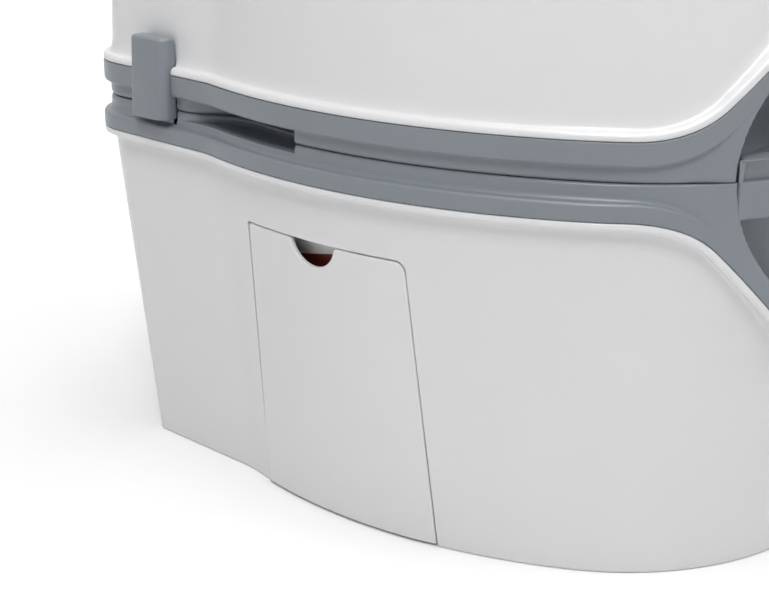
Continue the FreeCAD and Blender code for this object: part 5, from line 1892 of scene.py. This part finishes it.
@dataclass
class HingePost:
    """Post that holds a hinge pin, screwed onto the tank's top."""

    node: str
    crown: float = 6 * MM
    edge: float = 1.2 * MM

    def build(self) -> Mesh:
        """Model the post from a box: round over the top, soft everywhere else."""
        low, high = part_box(self.node)
        post = Bench.block(self.node + "_block", low, high)
        Bench.round_edges(post, self.crown, lambda a, b: min(a.z, b.z) > high.z - NEAR
                          and abs(a.y - b.y) < NEAR, 8)
        Bench.soften(post, self.edge, 4)
        return present(Bench.smooth(post), "body", WHITE, self.node)


@dataclass
class GripCap:
    """Round knob or cap with grip flutes and a dished face."""

    name: str
    node: str
    body: str
    axis: Axis
    flutes: int = 24
    flute_depth: float = 0.9 * MM
    roll: float = 2.2 * MM
    dish: float = 1.2 * MM
    dish_share: float = 0.72
    skirt: float = 1.6 * MM
    bore: float = 0.0
    bore_depth: float = 0.0
    chamfer: float = 0.6 * MM
    roll_gap: float = 0.8 * MM
    dish_edge: Pair = (1 * MM, 0.3 * MM)
    # Points of the dish as shares of its radius and of its depth
    dish_curve: tuple[Pair, ...] = ((0.8, 0.75), (0.4, 1.0), (0.0, 1.0))
    side_share: float = 0.9
    side_lean: float = 0.1
    flute_share: float = 0.5
    flute_edge: float = 0.35 * MM

    def profile(self, radius: float, length: float) -> list[Pair]:
        """Half section as (radius, height) points, from the middle of the foot or bore to the face."""
        roll, hollow = self.roll, radius * self.dish_share
        rows = [(0.0, self.bore_depth)]
        if self.bore > 0:
            rows += [(self.bore, self.bore_depth), (self.bore, 0.0)]
        rows += [(radius - self.chamfer, 0.0), (radius, self.chamfer), (radius, self.skirt)]
        rows += [(radius, length - roll - self.roll_gap)]
        rows += quarter((radius - roll, length - roll), (roll, roll), 0, 90, 5)
        rows += [(hollow + self.dish_edge[0], length), (hollow, length - self.dish_edge[1])]
        return rows + [(hollow * out, length - self.dish * down) for out, down in self.dish_curve]

    def build(self) -> Mesh:
        """Turn the cap, press the flutes into its side and soften them."""
        low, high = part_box(self.node)
        along = Vector(self.axis.value)
        size = high - low
        length = abs(size.dot(along))
        radius = max(size - along * size.dot(along)) / 2
        middle = (low + high) / 2
        foot = middle - along * length / 2
        cap = Bench.turned(self.name, self.profile(radius, length), foot, self.axis, self.flutes * 4)
        self._press(cap, foot, radius, length)
        Bench.soften(cap, self.flute_edge, 2, SOFT_ANGLE)
        return present(Bench.smooth(cap, SOFT_ANGLE), self.body, KNOB, self.node)

    def _press(self, cap: Mesh, foot: Vector, radius: float, length: float) -> None:
        """Select half of the side's faces in groups and push them in."""
        along = Vector(self.axis.value)
        back = self.axis.matrix().to_3x3().inverted()
        Bench.pick(cap)
        bpy.ops.object.mode_set(mode="EDIT")
        bpy.ops.mesh.select_mode(type="FACE")
        bpy.ops.mesh.select_all(action="DESELECT")
        shape = bmesh.from_edit_mesh(cap.data)
        for face in shape.faces:
            spot = back @ (face.calc_center_median() - foot)
            upright = abs(face.normal.dot(along)) < self.side_lean
            on_side = upright and self.skirt < spot.z < length - self.roll
            turn = math.atan2(spot.y, spot.x) / (2 * math.pi) * self.flutes
            face.select = (on_side and spot.xy.length > radius * self.side_share
                           and turn % 1.0 < self.flute_share)
        bmesh.update_edit_mesh(cap.data)
        bpy.ops.mesh.extrude_region_shrink_fatten(TRANSFORM_OT_shrink_fatten={"value": -self.flute_depth})
        bpy.ops.object.mode_set(mode="OBJECT")


@dataclass(frozen=True)
class Lamp:
    """Square soft light that looks at a point."""

    name: str
    spot: Spot
    aim: Spot
    size: float
    power: float

    def hang(self) -> None:
        """Hang the lamp in the studio."""
        data = bpy.data.lights.new(self.name, "AREA")
        data.size = self.size
        data.energy = self.power
        lamp = bpy.data.objects.new(self.name, data)
        lamp.location = self.spot
        lamp.rotation_euler = (Vector(self.aim) - Vector(self.spot)).to_track_quat("-Z", "Y").to_euler()
        bpy.context.scene.collection.objects.link(lamp)


@dataclass
class Studio:
    """White sweep, soft light and the camera at the photograph's angle."""

    lamps: tuple[Lamp, ...] = (Lamp("overhead", (-0.2, -0.1, 3.4), (0.0, 0.0, 0.0), 2.4, 62.0),
                               Lamp("flank_key", (-1.5, -1.0, 2.5), (0.0, 0.0, 0.2), 0.9, 38.0),
                               Lamp("front_fill", (1.3, -1.9, 1.5), (0.0, 0.0, 0.2), 1.4, 12.0))
    floor_half: float = 6.0
    floor_colour: Colour = (0.92, 0.92, 0.92)
    floor_roughness: float = 0.9
    camera_spot: Spot = (-0.80244, -0.68553, 0.44045)
    camera_dip: float = 18.0556
    camera_turn: float = -44.205
    lens: float = 81.58
    sensor: float = 36.0
    nearest: float = 0.01
    lift_near: float = 0.10
    lift_far: float = 0.55
    near_reach: float = 0.32
    far_reach: float = 1.1
    surround: float = 0.12

    def floor(self) -> None:
        """Pale floor that keeps the contact shadow and turns white for the camera."""
        bpy.ops.object.select_all(action="DESELECT")
        bpy.ops.mesh.primitive_plane_add(size=2 * self.floor_half, location=(0, 0, 0))
        ground = Bench.added("studio_floor")
        material = bpy.data.materials.new("studio white")
        material.use_nodes = True
        tree = material.node_tree
        shader = tree.nodes["Principled BSDF"]
        shader.inputs["Base Color"].default_value = (*self.floor_colour, 1.0)
        shader.inputs["Roughness"].default_value = self.floor_roughness
        place = wire(tree, "TexCoord", {})
        reach = wire(tree, "VectorMath", {0: place.outputs["Object"]}, operation="LENGTH")
        fade = wire(tree, "MapRange", {"Value": reach.outputs["Value"], "From Min": self.near_reach,
                                       "From Max": self.far_reach, "To Min": self.lift_near,
                                       "To Max": self.lift_far})
        lift = wire(tree, "Math", {0: self._seen(tree), 1: fade.outputs["Result"]}, operation="MULTIPLY")
        shine = wire(tree, "Emission", {"Strength": lift.outputs[0]})
        both = wire(tree, "AddShader", {0: shader.outputs["BSDF"], 1: shine.outputs["Emission"]})
        tree.links.new(both.outputs["Shader"], tree.nodes["Material Output"].inputs["Surface"])
        ground.data.materials.append(material)

    @staticmethod
    def _seen(tree: bpy.types.NodeTree) -> bpy.types.NodeSocket:
        """Mask of the rays that show the background: seen directly, mirrored or through glass."""
        path = wire(tree, "LightPath", {}).outputs
        direct = wire(tree, "Math", {0: path["Is Camera Ray"], 1: path["Is Glossy Ray"]})
        every = wire(tree, "Math", {0: direct.outputs[0], 1: path["Is Transmission Ray"]}, use_clamp=True)
        return every.outputs[0]

    def backdrop(self) -> None:
        """White surround that the camera sees; other rays get a softer one."""
        world = bpy.data.worlds.new("studio")
        bpy.context.scene.world = world
        world.use_nodes = True
        tree = world.node_tree
        back = tree.nodes["Background"]
        back.inputs["Color"].default_value = (1.0, 1.0, 1.0, 1.0)
        back.inputs["Strength"].default_value = self.surround
        shown = wire(tree, "Background", {"Color": (1.0, 1.0, 1.0, 1.0), "Strength": 1.0})
        mix = wire(tree, "MixShader", {"Fac": self._seen(tree), 1: back.outputs["Background"],
                                       2: shown.outputs["Background"]})
        tree.links.new(mix.outputs["Shader"], tree.nodes["World Output"].inputs["Surface"])

    def camera(self) -> None:
        """Camera at the photograph's place."""
        data = bpy.data.cameras.new("photo_camera")
        data.lens = self.lens
        data.sensor_width = self.sensor
        data.sensor_fit = "HORIZONTAL"
        data.clip_start = self.nearest
        camera = bpy.data.objects.new("photo_camera", data)
        camera.location = self.camera_spot
        camera.rotation_euler = (math.radians(90 - self.camera_dip), 0.0, math.radians(self.camera_turn))
        bpy.context.scene.collection.objects.link(camera)
        bpy.context.scene.camera = camera

    def build(self) -> None:
        """Set up floor, light, surround and camera."""
        self.floor()
        self.backdrop()
        self.camera()
        for lamp in self.lamps:
            lamp.hang()
        bpy.context.scene.view_settings.view_transform = "Standard"


def dress_packed(shown: dict[str, Finish]) -> None:
    """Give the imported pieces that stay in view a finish.

    Args:
        shown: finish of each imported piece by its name.
    """
    for name, finish in shown.items():
        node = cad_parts[name]
        node.data.materials.clear()
        node.data.materials.append(finish.material())
        log.info("%s stays as packed", name)


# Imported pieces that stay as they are
PACKED = {"waste_tank": INNER, "tank_cover": INNER, "door_pins": STEEL, "valve_housing": INNER,
          "valve_blade": INNER, "valve_screws": STEEL, "bowl_gasket": RUBBER, "latch_pins": STEEL,
          "pour_spout": KNOB, "spout_seal": RUBBER, "vent_button": KNOB, "bowl": SEAT,
          "seat_bumpers": RUBBER, "lid_bumpers": RUBBER, "hinge_pins": STEEL, "post_screws": STEEL,
          "pump_barrel": INNER, "pump_piston": INNER, "piston_ring": RUBBER, "filler_neck": INNER,
          "filler_seal": RUBBER, "flush_pipe": INNER, "flush_nozzle": INNER}


def main() -> None:
    """Build and dress the object piece by piece, then set up the studio."""
    logging.basicConfig(level=logging.INFO, format="%(message)s")
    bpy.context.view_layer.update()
    outline = PlanOutline()
    levels = Levels.from_frame()
    low = FrontSweep(levels.jacket_top, levels.low_sweep, outer_x=110 * MM, angle=math.radians(49),
                     outer_radius=47 * MM, mid_radius=38 * MM)
    high = FrontSweep(levels.upper_edge, levels.high_sweep, outer_x=108.7 * MM, angle=math.radians(45.6),
                      outer_radius=51 * MM, mid_radius=40.5 * MM)
    scoop = Scoop(levels.split, centre_y=-outline.half_depth + 12 * MM)
    fittings = SideFittings()
    door = DoorOutline()
    bowl_y = -44 * MM
    mouth = Oval(half_width=99.5 * MM, half_length=115.5 * MM, centre_y=bowl_y)
    jacket = LowerShell(outline, levels, low, door)
    jacket.build()
    PaperDoor(jacket, door).build()
    PaperBin(jacket).build()
    TankDeck(outline, levels, low, scoop, fittings).build()
    BaseFrame(outline, levels, high, scoop, fittings).build()
    FlushShell(outline, levels, high, fittings, mouth).build()
    for side, node in ((Side.LEFT, "latch_left"), (Side.RIGHT, "latch_right")):
        SideLatch(side, node).build()
    PullHandle(outline, levels, scoop).build()
    for node, name in (("deck_plate", "deck_inner_plate"), ("base_plate", "base_inner_plate")):
        InnerPlate(node, name, scoop).build()
    plan = SeatOutline()
    pins_low, pins_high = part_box("hinge_pins")
    arms = HingeArms((pins_low.y + pins_high.y) / 2, (pins_low.z + pins_high.z) / 2)
    opening = Oval(half_width=98 * MM, half_length=114 * MM, centre_y=bowl_y)
    SeatRing(plan, opening, arms).build()
    DomedLid(plan, arms).build()
    for node in ("hinge_post_left", "hinge_post_right"):
        HingePost(node).build()
    GripCap("pump_button", "pump_knob", "pump", Axis.Z).build()
    GripCap("filler_lid", "filler_cap", "filler_cap", Axis.Z, flutes=30,
            bore=16.6 * MM, bore_depth=9.2 * MM).build()
    GripCap("spout_lid", "spout_cap", "spout_cap", Axis.LEFT, flutes=30,
            bore=18.5 * MM, bore_depth=12.2 * MM).build()
    dress_packed(PACKED)
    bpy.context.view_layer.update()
    Studio().build()


if __name__ == "__main__":
    main()
